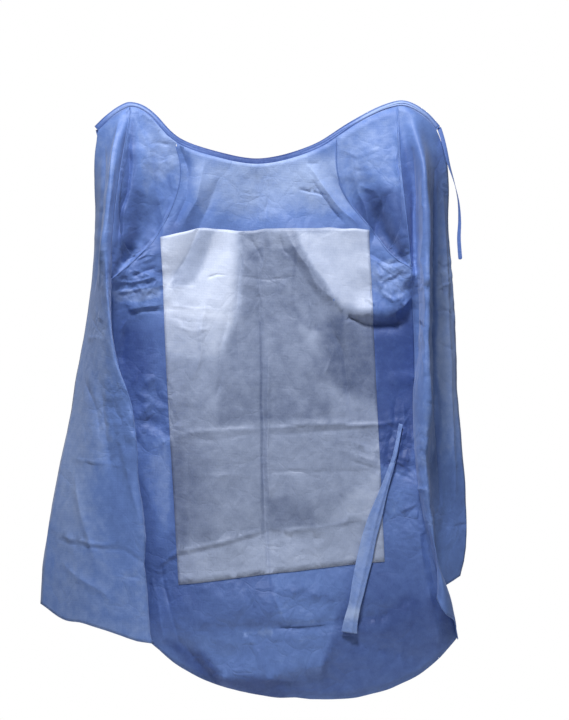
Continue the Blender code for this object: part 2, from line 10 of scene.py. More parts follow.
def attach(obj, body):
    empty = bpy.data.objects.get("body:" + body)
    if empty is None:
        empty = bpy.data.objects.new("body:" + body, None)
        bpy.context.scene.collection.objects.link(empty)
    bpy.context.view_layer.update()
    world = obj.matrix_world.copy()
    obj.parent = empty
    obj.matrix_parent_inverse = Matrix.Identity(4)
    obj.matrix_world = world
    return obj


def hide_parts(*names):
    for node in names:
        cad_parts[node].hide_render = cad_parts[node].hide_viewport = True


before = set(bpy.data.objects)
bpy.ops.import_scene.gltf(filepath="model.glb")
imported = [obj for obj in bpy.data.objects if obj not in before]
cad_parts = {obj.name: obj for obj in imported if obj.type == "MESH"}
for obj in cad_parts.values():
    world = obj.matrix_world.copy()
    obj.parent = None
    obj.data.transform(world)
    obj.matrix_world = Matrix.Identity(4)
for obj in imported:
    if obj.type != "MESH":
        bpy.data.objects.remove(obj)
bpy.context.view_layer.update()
print("frame loaded,", len(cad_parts), "cloth pieces")

# camera: level, in front of the open back
shot = {"target": (0.042, 0.0, -0.510), "distance": 3.2, "framedHeight": 1.541, "sensor": 36.0}
cameraData = bpy.data.cameras.new("camera")
cameraData.sensor_fit = "VERTICAL"
cameraData.sensor_height = shot["sensor"]
cameraData.lens = shot["sensor"] * shot["distance"] / shot["framedHeight"]
camera = bpy.data.objects.new("camera", cameraData)
bpy.context.scene.collection.objects.link(camera)
camera.location = Vector(shot["target"]) - Vector((0.0, shot["distance"], 0.0))
camera.rotation_euler = (math.radians(90), 0.0, 0.0)
bpy.context.scene.camera = camera

# colours and materials
def linear(hexColour):
    parts = [int(hexColour[i:i + 2], 16) / 255 for i in (1, 3, 5)]
    return tuple(p / 12.92 if p <= 0.04045 else ((p + 0.055) / 1.055) ** 2.4 for p in parts) + (1.0,)


def addNode(tree, kind, settings=None, links=None):
    # settings are properties or input values by name; links join an input to another node's output
    node = tree.nodes.new(kind)
    for name, value in (settings or {}).items():
        if isinstance(name, str) and hasattr(node, name):
            setattr(node, name, value)
        else:
            node.inputs[name].default_value = value
    for name, output in (links or {}).items():
        tree.links.new(output, node.inputs[name])
    return node


# Spunbond polypropylene: extruded fibres laid at random and hot-rolled between dotted rollers.
# To the eye it is matt with a faint sheen, cloudy where fibres bunch, with a grid of bond points;
# its colour runs from deep to pale with painted light and painted shade: pale where light through one thin
# layer is painted, deep where shade in folds and doubled cloth is painted.
nonwoven = {
    "deep": "#3A5290", "plain": "#6482C2", "pale": "#A9BEE8", "roughness": 0.58, "ior": 1.49,
    "cloudSize": 0.022, "cloudShare": 0.22, "fibreSize": 0.0016,
    "bondPitch": 0.0035,      # real rollers give about 2 mm; drawn coarser so that it shows
    "wrinkleSize": 0.075, "wrinkleDepth": 0.0200, "bondDepth": 0.00014,
}


def clothMaterial(name, spec):
    material = bpy.data.materials.new(name)
    material.use_nodes = True
    tree = material.node_tree
    shader = tree.nodes["Principled BSDF"]
    place = addNode(tree, "ShaderNodeTexCoord").outputs["UV"]
    cloud = addNode(tree, "ShaderNodeTexNoise",
                    {"Scale": 1 / spec["cloudSize"], "Detail": 5.0, "Roughness": 0.62}, {"Vector": place})
    drawn = addNode(tree, "ShaderNodeMapping", {"Scale": (1.0, 0.35, 1.0)}, {"Vector": place})
    fibre = addNode(tree, "ShaderNodeTexNoise",
                    {"Scale": 1 / spec["fibreSize"], "Detail": 2.0}, {"Vector": drawn.outputs["Vector"]})
    blend = addNode(tree, "ShaderNodeMath", {"operation": "MULTIPLY_ADD", 1: 0.35},
                    {0: fibre.outputs["Fac"], 2: cloud.outputs["Fac"]})
    share = addNode(tree, "ShaderNodeMapRange",
                    {"From Min": 0.42, "From Max": 0.92, "To Min": -spec["cloudShare"] / 2,
                     "To Max": spec["cloudShare"] / 2}, {"Value": blend.outputs["Value"]})
    # this attribute holds painted light and painted shade over random mottling: 0 where the cloth is painted
    # deepest, 1 where it is painted palest
    layer = addNode(tree, "ShaderNodeAttribute", {"attribute_name": "layer"})
    depth = addNode(tree, "ShaderNodeMath", {"operation": "ADD"},
                    {0: layer.outputs["Fac"], 1: share.outputs["Result"]})
    colour = addNode(tree, "ShaderNodeValToRGB", {}, {"Fac": depth.outputs["Value"]})
    stops = colour.color_ramp.elements
    stops[0].color = linear(spec["deep"])
    stops.new(0.5).color = linear(spec["plain"])
    stops[2].color = linear(spec["pale"])
    tree.links.new(colour.outputs["Color"], shader.inputs["Base Color"])
    # fine crumples that stay in cloth once it has been packed flat
    bent = addNode(tree, "ShaderNodeTexNoise",
                   {"Scale": 1.5 / spec["wrinkleSize"], "Detail": 2.0}, {"Vector": place})
    moved = addNode(tree, "ShaderNodeVectorMath",
                    {"operation": "MULTIPLY_ADD", 1: (spec["wrinkleSize"] / 2,) * 3},
                    {0: bent.outputs["Color"], 2: place})
    wrinkle = addNode(tree, "ShaderNodeTexVoronoi",
                      {"feature": "DISTANCE_TO_EDGE", "Scale": 1 / spec["wrinkleSize"], "Detail": 2.5,
                       "Roughness": 0.55, "Lacunarity": 2.3}, {"Vector": moved.outputs["Vector"]})
    crumpled = addNode(tree, "ShaderNodeAttribute", {"attribute_name": "crumpled"})
    strength = addNode(tree, "ShaderNodeMath", {"operation": "ADD", 1: 0.10}, {0: crumpled.outputs["Fac"]})
    height = addNode(tree, "ShaderNodeMath", {"operation": "MULTIPLY"},
                     {0: wrinkle.outputs["Distance"], 1: strength.outputs["Value"]})
    crush = addNode(tree, "ShaderNodeBump", {"Strength": 1.0, "Distance": spec["wrinkleDepth"]},
                    {"Height": height.outputs["Value"]})
    bond = addNode(tree, "ShaderNodeTexVoronoi",
                   {"Scale": 1 / spec["bondPitch"], "Randomness": 0.12}, {"Vector": place})
    dimple = addNode(tree, "ShaderNodeMapRange", {"From Min": 0.12, "From Max": 0.36},
                     {"Value": bond.outputs["Distance"]})
    press = addNode(tree, "ShaderNodeBump", {"Strength": 1.0, "Distance": spec["bondDepth"]},
                    {"Height": dimple.outputs["Result"], "Normal": crush.outputs["Normal"]})
    tree.links.new(press.outputs["Normal"], shader.inputs["Normal"])
    rough = addNode(tree, "ShaderNodeMapRange",
                    {"To Min": spec["roughness"] + 0.06, "To Max": spec["roughness"] - 0.05},
                    {"Value": cloud.outputs["Fac"]})
    tree.links.new(rough.outputs["Result"], shader.inputs["Roughness"])
    shader.inputs["IOR"].default_value = spec["ior"]
    shader.inputs["Sheen Weight"].default_value = spec.get("sheen", 0.25)
    shader.inputs["Sheen Roughness"].default_value = 0.45
    shader.inputs["Sheen Tint"].default_value = linear(spec.get("sheenTint", "#C9D6F4"))
    return material


spunbond = clothMaterial("blueSpunbondPolypropylene", nonwoven)
# Film-backed nonwoven: the same fibres on a thin polyethylene film, smoother and less open. Its colour
# runs from greyed blue to nearly white with the painted shade and painted light of its zones.
filmBacked = clothMaterial("filmBackedNonwoven", {
    **nonwoven, "deep": "#586688", "plain": "#A3B0CD", "pale": "#DAE4FB", "roughness": 0.5,
    "cloudSize": 0.03, "wrinkleSize": 0.07, "wrinkleDepth": 0.0180, "sheen": 0.1, "sheenTint": "#E6EAF6"})
# The same cloth folded double, in darker colours as painted shade, since less light comes through it.
foldedBinding = clothMaterial("foldedSpunbondBinding", {
    **nonwoven, "deep": "#2C4386", "plain": "#5F7CC0", "pale": "#94ABDD", "cloudSize": 0.008,
    "wrinkleSize": 0.02, "wrinkleDepth": 0.0010})
# Cotton and polyester rib knit, off-white and fully matt.
ribKnit = clothMaterial("cottonRibKnit", {
    **nonwoven, "deep": "#C6C6CC", "plain": "#DADADE", "pale": "#ECECEE", "roughness": 0.85,
    "cloudSize": 0.004, "fibreSize": 0.0008, "bondPitch": 0.0012, "wrinkleSize": 0.02,
    "wrinkleDepth": 0.0003, "sheen": 0.3, "sheenTint": "#FFFFFF"})
print("materials made")


# folds, in millimetres: height towards the open back, flank widths left and right of
# the line's own direction, and the line itself as x, z
frontCreases = {
    "neckPleatOne": (-3, 7, 7, [(-20, -108), (-20, -159), (-18, -215)]),
    "neckPleatTwo": (-3, 7, 7, [(4, -117), (4, -155), (0, -198)]),
    "chestFold": (5.5, 9, 8, [(86, -90), (140, -154), (172, -193), (200, -225)]),
    "chestFoldShade": (-5, 8, 30, [(101, -127), (140, -175), (172, -216)]),
    "chestCrease": (-3, 5, 6, [(71, -143), (101, -152), (133, -154)]),
    "neckTuck": (-3, 5, 8, [(86, -90), (114, -88)]),
    "raglanShadeLeft": (-8, 16, 28, [(-180, -50), (-166, -105), (-170, -159), (-205, -236)]),
    "shadeBandLeft": (-6, 22, 26, [(-97, -118), (-128, -194), (-162, -272), (-203, -343)]),
    "lightBandLeft": (4, 16, 20, [(-129, -80), (-147, -165), (-177, -225)]),
    "panelValley": (-5, 12, 24, [(-48, -232), (-55, -315), (-59, -445), (-54, -552)]),
    "centreFold": (-4, 9, 12, [(-16, -249), (-11, -414), (-5, -639), (4, -861)]),
    "panelDiagonal": (9, 45, 18, [(47, -234), (75, -290), (122, -354), (165, -404)]),
    "creaseHighMiddle": (-2, 4, 5, [(-57, -330), (6, -332), (58, -330)]),
    "creaseHighLeft": (-2.5, 4, 6, [(-128, -334), (-106, -328), (-83, -328)]),
    "creaseUpperLeft": (2, 4, 5, [(-220, -350), (-188, -354), (-160, -352)]),
    "creaseSecondLeft": (2.5, 5, 6, [(-221, -399), (-162, -395), (-106, -399)]),
    "crumpleLeftOne": (-3, 6, 6, [(-203, -421), (-162, -427), (-110, -425)]),
    "crumpleLeftTwo": (3, 6, 8, [(-195, -438), (-151, -447), (-114, -440)]),
    "armFoldEdge": (16, 55, 12, [(187, -408), (231, -410), (265, -412), (295, -399), (317, -374)]),
    "armFoldShade": (-9, 10, 26, [(161, -406), (215, -430), (274, -432), (313, -427)]),
    "armFoldGlint": (3.5, 5, 7, [(172, -430), (198, -425), (222, -434)]),
    "armFoldTop": (-5, 9, 10, [(224, -281), (264, -304), (313, -307)]),
    "armNotchOne": (-3.5, 5, 6, [(234, -294), (249, -312), (300, -351)]),
    "armNotchTwo": (-3.5, 6, 6, [(217, -378), (235, -395)]),
    "armNotchThree": (-3, 5, 7, [(297, -313), (321, -347)]),
    "armRidge": (4, 8, 8, [(247, -359), (275, -384), (309, -368)]),
    "sidePatch": (6, 16, 16, [(266, -550), (296, -553), (329, -546)]),
    "waistFoldRight": (4.5, 6, 14, [(0, -658), (75, -651), (161, -647), (248, -643), (298, -641)]),
    "waistFoldLeft": (3, 6, 14, [(-183, -667), (-97, -662), (-15, -660)]),
    "sideGlint": (3, 5, 5, [(285, -665), (298, -648), (311, -628)]),
    "lowPanelOne": (-3, 8, 8, [(6, -753), (75, -748), (161, -752), (243, -746)]),
    "lowPanelTwo": (2.5, 8, 8, [(-162, -763), (-92, -756), (-22, -764)]),
    "armpitOne": (3, 5, 5, [(-304, -313), (-268, -286), (-239, -266)]),
    "armpitTwo": (3, 5, 5, [(-275, -299), (-254, -290), (-233, -288)]),
    "armpitHollow": (-6, 10, 9, [(-287, -334), (-256, -322), (-233, -316)]),
    "armpitLensTop": (4, 6, 5, [(-329, -345), (-285, -346), (-233, -331)]),
    "armpitLensFoot": (4, 6, 6, [(-319, -366), (-288, -363), (-239, -348)]),
    "armpitLedge": (5, 32, 8, [(-296, -399), (-259, -399), (-223, -397)]),
    "armpitLine": (-3, 5, 6, [(-296, -410), (-259, -408), (-223, -408)]),
    "sideTick": (3, 5, 5, [(-319, -455), (-299, -423)]),
    "sideHollow": (-6, 14, 14, [(-306, -449), (-306, -479), (-306, -509)]),
    "sideRidge": (4, 8, 8, [(-300, -592), (-289, -570), (-278, -550)]),
    "hemRidgeHigh": (5, 14, 10, [(13, -1014), (66, -1002), (120, -1014), (161, -1031)]),
    "hemFacetFoot": (6, 34, 10, [(32, -1074), (86, -1070), (148, -1061)]),
    "hemFacetLeftEdge": (4, 22, 8, [(19, -1012), (32, -1044), (47, -1079)]),
    "hemLongFold": (-8, 34, 12, [(-169, -1096), (-75, -1091), (0, -1087), (79, -1081), (148, -1074),
        (246, -1066), (293, -1038), (340, -1012)]),
    "hemLitRidge": (12, 55, 22, [(-143, -1130), (-118, -1168), (-88, -1190), (19, -1190), (41, -1179),
        (120, -1168), (139, -1141), (148, -1096)]),
    "hemLitFold": (5, 12, 24, [(-45, -1096), (-6, -1141), (6, -1186)]),
    "hemDarkLeft": (-5, 12, 20, [(-190, -1113), (-150, -1151), (-101, -1198)]),
    "hemLeftFacet": (-4, 18, 12, [(-64, -972), (-32, -1023), (-6, -1061)]),
    "hemRightFold": (-5, 30, 12, [(167, -1109), (246, -1134), (332, -1156)]),
    "hemCornerFold": (6, 16, 26, [(340, -980), (362, -1044), (374, -1130)]),
    "lowLeftStreakOne": (4, 8, 12, [(-243, -970), (-231, -1048), (-218, -1124)]),
    "lowLeftStreakTwo": (-4, 7, 8, [(-227, -942), (-209, -1026), (-183, -1133)]),
    "sideWedgeOne": (5, 6, 8, [(265, -718), (301, -737), (339, -765)]),
    "sideWedgeTwo": (-5, 6, 9, [(269, -746), (299, -759), (328, -775)]),
    "sideWedgeThree": (5, 6, 7, [(292, -838), (311, -829), (330, -818)]),
    "sideValley": (-5, 9, 12, [(287, -585), (274, -660), (264, -729)]),
    "sideLight": (4, 9, 10, [(303, -596), (295, -682), (286, -746)]),
    "sideDeepLow": (-5, 10, 14, [(342, -862), (353, -937), (362, -1002)]),
    "sideRidgeLow": (4, 9, 10, [(321, -809), (332, -895), (341, -981)]),
    "centreCreaseLow": (-4, 6, 7, [(-5, -682), (-2, -811), (6, -929), (11, -1002)]),
    "centreRidge": (5, 12, 9, [(6, -477), (6, -596), (6, -725), (13, -854)]),
    "footHollow": (-6, 14, 12, [(6, -876), (54, -888), (129, -895)]),
    "footRidgeLeft": (4.5, 5, 10, [(-232, -955), (-183, -919), (-97, -900), (6, -872)]),
    "footCreaseLeft": (-1.5, 6, 8, [(-232, -963), (-179, -931), (-92, -911), (2, -884)]),
    "footRidgeRight": (4, 6, 6, [(21, -874), (118, -868), (215, -853), (249, -851)]),
    "lowCrumpleOne": (3, 5, 6, [(161, -703), (204, -714), (243, -729)]),
    "lowCrumpleTwo": (-3, 5, 6, [(172, -720), (209, -733), (247, -746)]),
    "lowCrumpleThree": (3, 5, 6, [(139, -686), (183, -682), (230, -699)]),
    "waistShadeRight": (-1.2, 6, 9, [(6, -673), (118, -664), (248, -654)]),
    "waistShadeLeft": (-1, 6, 8, [(-183, -682), (-97, -681), (-15, -673)]),
    "panelNickOne": (4, 5, 6, [(97, -380), (101, -419), (92, -449)]),
    "panelNickTwo": (4, 5, 6, [(131, -477), (140, -509), (129, -542)]),
    "panelNickThree": (-4, 6, 7, [(110, -380), (114, -419), (110, -455)]),
    "panelShadeRight": (-5, 12, 16, [(140, -419), (172, -509), (187, -617)]),
    "panelLightLeft": (4, 12, 16, [(-130, -380), (-134, -466), (-149, -552)]),
    "panelShadeLeft": (-4, 10, 12, [(-72, -380), (-93, -488), (-108, -617)]),
    "neckCrumpleOne": (4, 8, 9, [(-55, -254), (-48, -297), (-29, -319)]),
    "neckCrumpleTwo": (-5, 7, 8, [(-29, -245), (-16, -271), (-7, -297)]),
    "neckCrumpleThree": (4, 7, 8, [(2, -241), (-3, -282), (-11, -325)]),
    "neckCrumpleFour": (-4, 6, 7, [(32, -238), (41, -272), (58, -289)]),
    "neckCrumpleFive": (4, 6, 7, [(-16, -336), (-7, -379), (-20, -405)]),
}
backLeftCreases = {
    "sideCreaseOne": (2, 5, 4, [(-386, -459), (-357, -460), (-333, -465)]),
    "sideCreaseTwo": (2.2, 6, 4, [(-417, -722), (-352, -727), (-294, -735)]),
    "sideCreaseFour": (-2.5, 5, 6, [(-310, -954), (-287, -960), (-261, -969)]),
    "sideFacetLow": (3, 14, 18, [(-443, -941), (-369, -984), (-319, -1012)]),
    "sideFacetHigh": (-3, 14, 14, [(-393, -553), (-359, -616), (-348, -678)]),
    "sideLongCrease": (-1.5, 4, 6, [(-476, -893), (-418, -904), (-353, -905), (-293, -908), (-251, -934),
        (-239, -972)]),
    "sideLongRidge": (3.5, 7, 7, [(-473, -876), (-418, -893), (-353, -894), (-293, -897), (-251, -924)]),
    "sideFacetLong": (5, 30, 16, [(-305, -673), (-285, -760), (-259, -843), (-245, -936)]),
    "sideHollowHigh": (-4, 16, 18, [(-349, -552), (-339, -657), (-320, -761)]),
    "sideSwell": (4, 18, 18, [(-409, -768), (-382, -849), (-357, -930)]),
    "hollowByFold": (-5, 14, 10, [(-314, -449), (-306, -479), (-293, -514)]),
    "outerRidge": (7, 9, 10, [(-311, -2), (-320, -88), (-327, -173), (-337, -279), (-350, -350)]),
    "outerLine": (-7, 8, 9, [(-342, -60), (-345, -147), (-356, -252), (-367, -358)]),
}
backRightCreases = {
    "rollCrumpleOne": (-3.5, 5, 5, [(326, -426), (333, -436), (341, -440)]),
    "rollCrumpleTwo": (-3, 5, 5, [(326, -428), (328, -450), (331, -469)]),
    "rollCrumpleThree": (3, 5, 5, [(331, -499), (334, -511), (339, -524)]),
    "rollCrumpleFour": (-3, 5, 5, [(322, -596), (336, -599), (364, -613)]),
    "outerCreaseOne": (-3, 5, 6, [(362, -406), (392, -405), (414, -410)]),
    "outerCreaseTwo": (-3, 5, 6, [(365, -466), (397, -479), (418, -488)]),
    "outerCreaseThree": (-3, 5, 5, [(367, -531), (382, -546), (396, -560)]),
    "outerCrumpleOne": (-3.5, 6, 6, [(362, -307), (382, -331), (394, -378)]),
    "outerCrumpleTwo": (-3, 5, 5, [(370, -297), (397, -317), (407, -334)]),
    "outerCrumpleThree": (3, 5, 5, [(370, -358), (390, -348), (409, -343)]),
    "outerLowCrease": (-3, 6, 6, [(383, -867), (411, -869), (439, -869)]),
    "lowPocket": (-6, 9, 9, [(306, -749), (314, -762), (323, -777)]),
    "lowGlint": (4, 7, 7, [(319, -787), (330, -782), (346, -779)]),
    "lowWedge": (4, 6, 6, [(297, -834), (314, -824), (332, -811)]),
    "lowValley": (-5, 8, 8, [(342, -862), (349, -905), (353, -941), (361, -975)]),
    "rollRidge": (8, 16, 14, [(337, -65), (336, -195), (338, -342), (339, -468), (342, -593), (356, -724)]),
    "rollInnerLine": (-8, 6, 9, [(313, -63), (318, -168), (320, -296), (323, -445), (320, -594)]),
    "rollOuterLine": (-8, 6, 9, [(365, -102), (367, -250), (370, -423), (369, -622), (376, -721),
        (380, -822)]),
    "outerBand": (5, 9, 12, [(385, -141), (394, -291), (402, -444), (408, -640), (415, -814)]),
}
sleeveLeftCreases = {
    "neckToArmRidge": (7, 14, 20, [(-276, 9), (-248, -56), (-230, -160), (-219, -248)]),
    "innerValley": (-9, 9, 16, [(-284, -26), (-291, -108), (-302, -192), (-310, -285)]),
    "gripStreakOne": (3, 5, 8, [(-291, 17), (-255, 1), (-216, -19)]),
    "gripStreakTwo": (3, 5, 7, [(-287, 11), (-264, -15), (-241, -40)]),
    "shoulderCreaseOne": (-3, 6, 6, [(-248, -44), (-226, -43), (-198, -50)]),
    "shoulderRidge": (3, 8, 8, [(-270, -52), (-245, -87), (-216, -136)]),
    "shoulderCreaseTwo": (-2.5, 6, 6, [(-245, -73), (-221, -82), (-203, -78)]),
    "raglanRidge": (3, 8, 10, [(-209, -58), (-204, -109), (-202, -152)]),
}
sleeveRightCreases = {
    "armRidgeRight": (7, 16, 16, [(183, -36), (188, -108), (211, -170), (231, -249)]),
    "armValleyRight": (-6, 10, 18, [(261, -160), (247, -206), (231, -260)]),
    "rollEdgeRight": (7, 8, 12, [(283, 5), (279, -87), (287, -132), (297, -223)]),
    "rightShoulderOne": (3, 7, 7, [(161, -58), (196, -73), (244, -60)]),
    "rightShoulderTwo": (-2.5, 6, 7, [(188, -98), (219, -105), (258, -97)]),
    "rightShoulderThree": (3, 8, 9, [(206, -135), (233, -151), (251, -180)]),
    "gripFoldRight": (4, 8, 10, [(284, -14), (280, -48), (279, -93)]),
}


def inMetres(folds):
    # the folds of a table in millimetres
    return [(rise / 1000, leftWidth / 1000, rightWidth / 1000, [(x / 1000, z / 1000) for x, z in line])
            for rise, leftWidth, rightWidth, line in folds.values()]


def evenStep(value):
    # 0 to 1 with a soft start and end
    value = np.clip(value, 0, 1)
    return value * value * (3 - 2 * value)


def lattice(i, j, seed):
    # one scattered value from 0 to 1 for each whole i, j
    value = np.sin(i * 127.1 + j * 311.7 + seed * 74.7) * 43758.5453
    return value - np.floor(value)


def smoothNoise(x, z, size, seed):
    # cloudy values from 0 to 1, the same every run
    u, v = x / size, z / size
    i, j = np.floor(u), np.floor(v)
    f, g = u - i, v - j
    f, g = evenStep(f), evenStep(g)
    low = lattice(i, j, seed) * (1 - f) + lattice(i + 1, j, seed) * f
    high = lattice(i, j + 1, seed) * (1 - f) + lattice(i + 1, j + 1, seed) * f
    return low * (1 - g) + high * g


def flatFacets(x, z, size, seed):
    # flat triangles between sharp edges, with values from 0 to 1
    u, v = x / size, z / size
    i, j = np.floor(u), np.floor(v)
    f, g = u - i, v - j
    a, b = lattice(i, j, seed), lattice(i + 1, j, seed)
    c, d = lattice(i, j + 1, seed), lattice(i + 1, j + 1, seed)
    falling = np.where(f + g < 1, a + f * (b - a) + g * (c - a), d + (1 - f) * (c - d) + (1 - g) * (b - d))
    rising = np.where(f > g, a + f * (b - a) + g * (d - b), a + g * (c - a) + f * (d - c))
    return np.where(lattice(i, j, seed + 3) < 0.5, falling, rising)


# relative size and share of each layer of facets, how far their creases bend, and the direction they
# run in, which is another one in each layer
crushing = {"layers": ((1.0, 0.55), (0.5, 0.3), (0.26, 0.15)), "bend": 0.30, "turn": 0.7, "turnMore": 2.1}


def crushed(x, z, size, seed):
    # facets between crooked creases, as in cloth that was packed and squeezed
    total = np.zeros_like(x)
    for octave, share in crushing["layers"]:
        warpX = x + size * crushing["bend"] * (smoothNoise(x, z, size, seed + 5) - 0.5)
        warpZ = z + size * crushing["bend"] * (smoothNoise(x, z, size, seed + 9) - 0.5)
        turn = crushing["turn"] + crushing["turnMore"] * octave
        across = warpX * math.cos(turn) + warpZ * math.sin(turn)
        along = warpZ * math.cos(turn) - warpX * math.sin(turn)
        total += share * flatFacets(across, along, size * octave, seed + octave * 31)
    return total


def fromSegment(x, z, start, end):
    # distance to a straight segment, place along it, and which side of it
    (ax, az), (bx, bz) = start, end
    length = math.hypot(bx - ax, bz - az)
    dx, dz = (bx - ax) / length, (bz - az) / length
    along = np.clip((x - ax) * dx + (z - az) * dz, 0, length)
    offX, offZ = x - ax - along * dx, z - az - along * dz
    return np.hypot(offX, offZ), along, offZ * dx - offX * dz


def fromLine(x, z, line):
    # distance to a bent line
    return np.min([fromSegment(x, z, start, end)[0] for start, end in zip(line, line[1:])], axis=0)


def creaseHeight(x, z, crease):
    # one fold: a ridge or trough along its line, which fades out at both ends
    rise, leftWidth, rightWidth, line = crease
    nearest = np.full(x.shape, 1e9)
    side = np.zeros(x.shape)
    place = np.zeros(x.shape)
    total = 0.0
    for start, end in zip(line, line[1:]):
        distance, along, offSide = fromSegment(x, z, start, end)
        closer = distance < nearest
        nearest = np.where(closer, distance, nearest)
        side = np.where(closer, offSide, side)
        place = np.where(closer, total + along, place)
        total += math.dist(start, end)
    width = np.where(side > 0, leftWidth, rightWidth)
    base = np.clip(1 - nearest / width, 0, 1)
    fadeShare, leastHeight = 0.22, 0.15    # of the length at each end, and of the height at the very end
    taper = np.clip(np.minimum(place, total - place) / (fadeShare * total) + leastHeight, 0, 1)
    return rise * base * base * (1.5 - 0.5 * base) * taper


# how folds wander and vary: slow and quick sideways swing with their wavelengths, wavelength of the
# height, with its least and how much more it can be, and what counts as a short or a narrow fold
unevenness = {"slow": 0.009, "slowSize": 0.050, "quick": 0.0015, "quickSize": 0.013, "heightSize": 0.030,
              "least": 0.25, "more": 1.15, "shortHeight": 0.75, "short": 0.24, "narrow": 0.013,
              "packedShare": 0.3}


def swing(x, z, slowSeed, quickSeed):
    slow = unevenness["slow"] * (smoothNoise(x, z, unevenness["slowSize"], slowSeed) - 0.5)
    return slow + unevenness["quick"] * (smoothNoise(x, z, unevenness["quickSize"], quickSeed) - 0.5)


def reliefOf(x, z, creases, crumples, seed):
    # height of all folds and crumples, towards the open back
    swingX, swingZ = swing(x, z, seed, seed), swing(x, z, seed + 3, seed + 8)
    uneven = unevenness["least"] + unevenness["more"] * smoothNoise(x, z, unevenness["heightSize"], seed + 13)
    height = np.zeros_like(x)
    for crease in creases:
        rise, leftWidth, rightWidth, line = crease
        short = math.dist(line[0], line[-1]) < unevenness["short"]
        narrow = max(leftWidth, rightWidth) < unevenness["narrow"]
        # a long narrow one is a fold from packing, and is nearly straight
        share = unevenness["packedShare"] if narrow and not short else 1.0
        fold = creaseHeight(x + share * swingX, z + share * swingZ, crease)
        height += fold * uneven * unevenness["shortHeight"] if short and narrow else fold
    for centreX, centreZ, reach, depth, size in crumples:
        weight = np.exp(-((x - centreX) ** 2 + (z - centreZ) ** 2) / reach**2)
        height += depth * weight * (crushed(x, z, size, seed + 1) - 0.5)
    return height


def insideOf(x, z, corners, soft):
    # 1 inside a zone, 0 outside it, with a soft border
    inside = np.zeros(x.shape, bool)
    border = corners + corners[:1]
    nearest = fromLine(x, z, border)
    for (ax, az), (bx, bz) in zip(border, border[1:]):
        if az != bz:
            crossing = ((az > z) != (bz > z)) & (x < (bx - ax) * (z - az) / (bz - az) + ax)
            inside ^= crossing
    return evenStep(0.5 + np.where(inside, nearest, -nearest) / (2 * soft))


# how patches and zones of painted light and painted shade bend, how soft a border bends fully, and the random
# mottling over them
mottling = {"bend": 0.030, "bendSize": 0.060, "softest": 0.012, "share": 0.10, "size": 0.11,
            "middle": 0.45, "least": 0.02, "most": 0.98}


def layerOf(x, z, base, patches, seed, zones=()):
    # patches and zones are painted light and painted shade; patches: centre x, z, half width, half height,
    # change; zones: change, border and corners x, z, these in millimetres
    u = x + mottling["bend"] * (smoothNoise(x, z, mottling["bendSize"], seed) - 0.5)
    v = z + mottling["bend"] * (smoothNoise(x, z, mottling["bendSize"], seed + 7) - 0.5)
    value = np.full(x.shape, base)
    for centreX, centreZ, halfX, halfZ, change in patches:
        away = ((u - centreX) / halfX) ** 2 + ((v - centreZ) / halfZ) ** 2
        value += change * np.exp(-away**1.5)
    for change, border, corners in zones:
        # the crisper a zone's border is, the straighter it runs
        soft = border / 1000
        share = min(0.5, soft / mottling["softest"])
        corners = [(cornerX / 1000, cornerZ / 1000) for cornerX, cornerZ in corners]
        value += change * insideOf(x + share * (u - x), z + share * (v - z), corners, soft)
    mottle = mottling["share"] * (crushed(x, z, mottling["size"], seed + 2) - mottling["middle"])
    return np.clip(value + mottle, mottling["least"], mottling["most"])


# from a CAD solid to one smooth sheet of cloth
def meshPoints(mesh):
    points = np.empty(len(mesh.vertices) * 3)
    mesh.vertices.foreach_get("co", points)
    return points.reshape(-1, 3)


def setPoints(mesh, points):
    mesh.vertices.foreach_set("co", points.ravel())
    mesh.update()


def selectOnly(piece):
    bpy.ops.object.select_all(action="DESELECT")
    piece.select_set(True)
    bpy.context.view_layer.objects.active = piece


def applyModifier(piece, kind, settings):
    selectOnly(piece)
    modifier = piece.modifiers.new(kind.lower(), kind)
    for name, value in settings.items():
        setattr(modifier, name, value)
    bpy.ops.object.modifier_apply(modifier=modifier.name)


def oneSide(mesh, wall, wanted):
    # drops the rim of the wall, then the side of the wall that isn't wanted
    work = bmesh.new()
    work.from_mesh(mesh)
    bmesh.ops.remove_doubles(work, verts=work.verts, dist=1e-5)
    work.normal_update()
    rimEdge = wall * 1.9    # longer than any edge across the wall, shorter than the grid's own
    rim = [f for f in work.faces if min(e.calc_length() for e in f.edges) < rimEdge]
    bmesh.ops.delete(work, geom=rim, context="FACES")
    work.faces.ensure_lookup_table()
    groups, seen = [], set()
    for first in work.faces:
        if first in seen:
            continue
        group, queue = [], [first]
        seen.add(first)
        while queue:
            face = queue.pop()
            group.append(face)
            for edge in face.edges:
                for other in edge.link_faces:
                    if other not in seen:
                        seen.add(other)
                        queue.append(other)
        groups.append(group)
    groups = sorted(groups, key=len)[-2:]
    if wanted == "outer" or wanted == "inner":
        groups.sort(key=lambda g: sum(f.calc_area() for f in g))
        kept = groups[-1] if wanted == "outer" else groups[0]
    else:
        kept = max(groups, key=lambda g: sum(-f.normal.y * f.calc_area() for f in g))
    keep = set(kept)
    bmesh.ops.delete(work, geom=[f for f in work.faces if f not in keep], context="FACES")
    return work


def dissolveDiagonals(work):
    # every triangle has a row edge, a column edge and a diagonal, always in the same turning
    # order, so one guess labels them all; the right guess leaves no diagonal on an open edge
    start = next(iter(work.faces))
    for guess in range(3):
        label = {}
        queue = [(start, start.loops[guess])]
        seen = {start}
        while queue:
            face, diagonal = queue.pop()
            loop = diagonal
            for kind in "drc":
                label[loop.edge] = kind
                loop = loop.link_loop_next
            for loop in face.loops:
                for other in loop.edge.link_loops:
                    if other.face in seen:
                        continue
                    seen.add(other.face)
                    step = other
                    kind = label[loop.edge]
                    for _ in range({"d": 0, "c": 1, "r": 2}[kind]):
                        step = step.link_loop_next
                    queue.append((other.face, step))
        if all(label[e] != "d" for e in work.edges if e.is_boundary):
            break
    bmesh.ops.dissolve_edges(work, edges=[e for e in work.edges if label[e] == "d"], use_verts=False)


sharpCorner = math.radians(38)


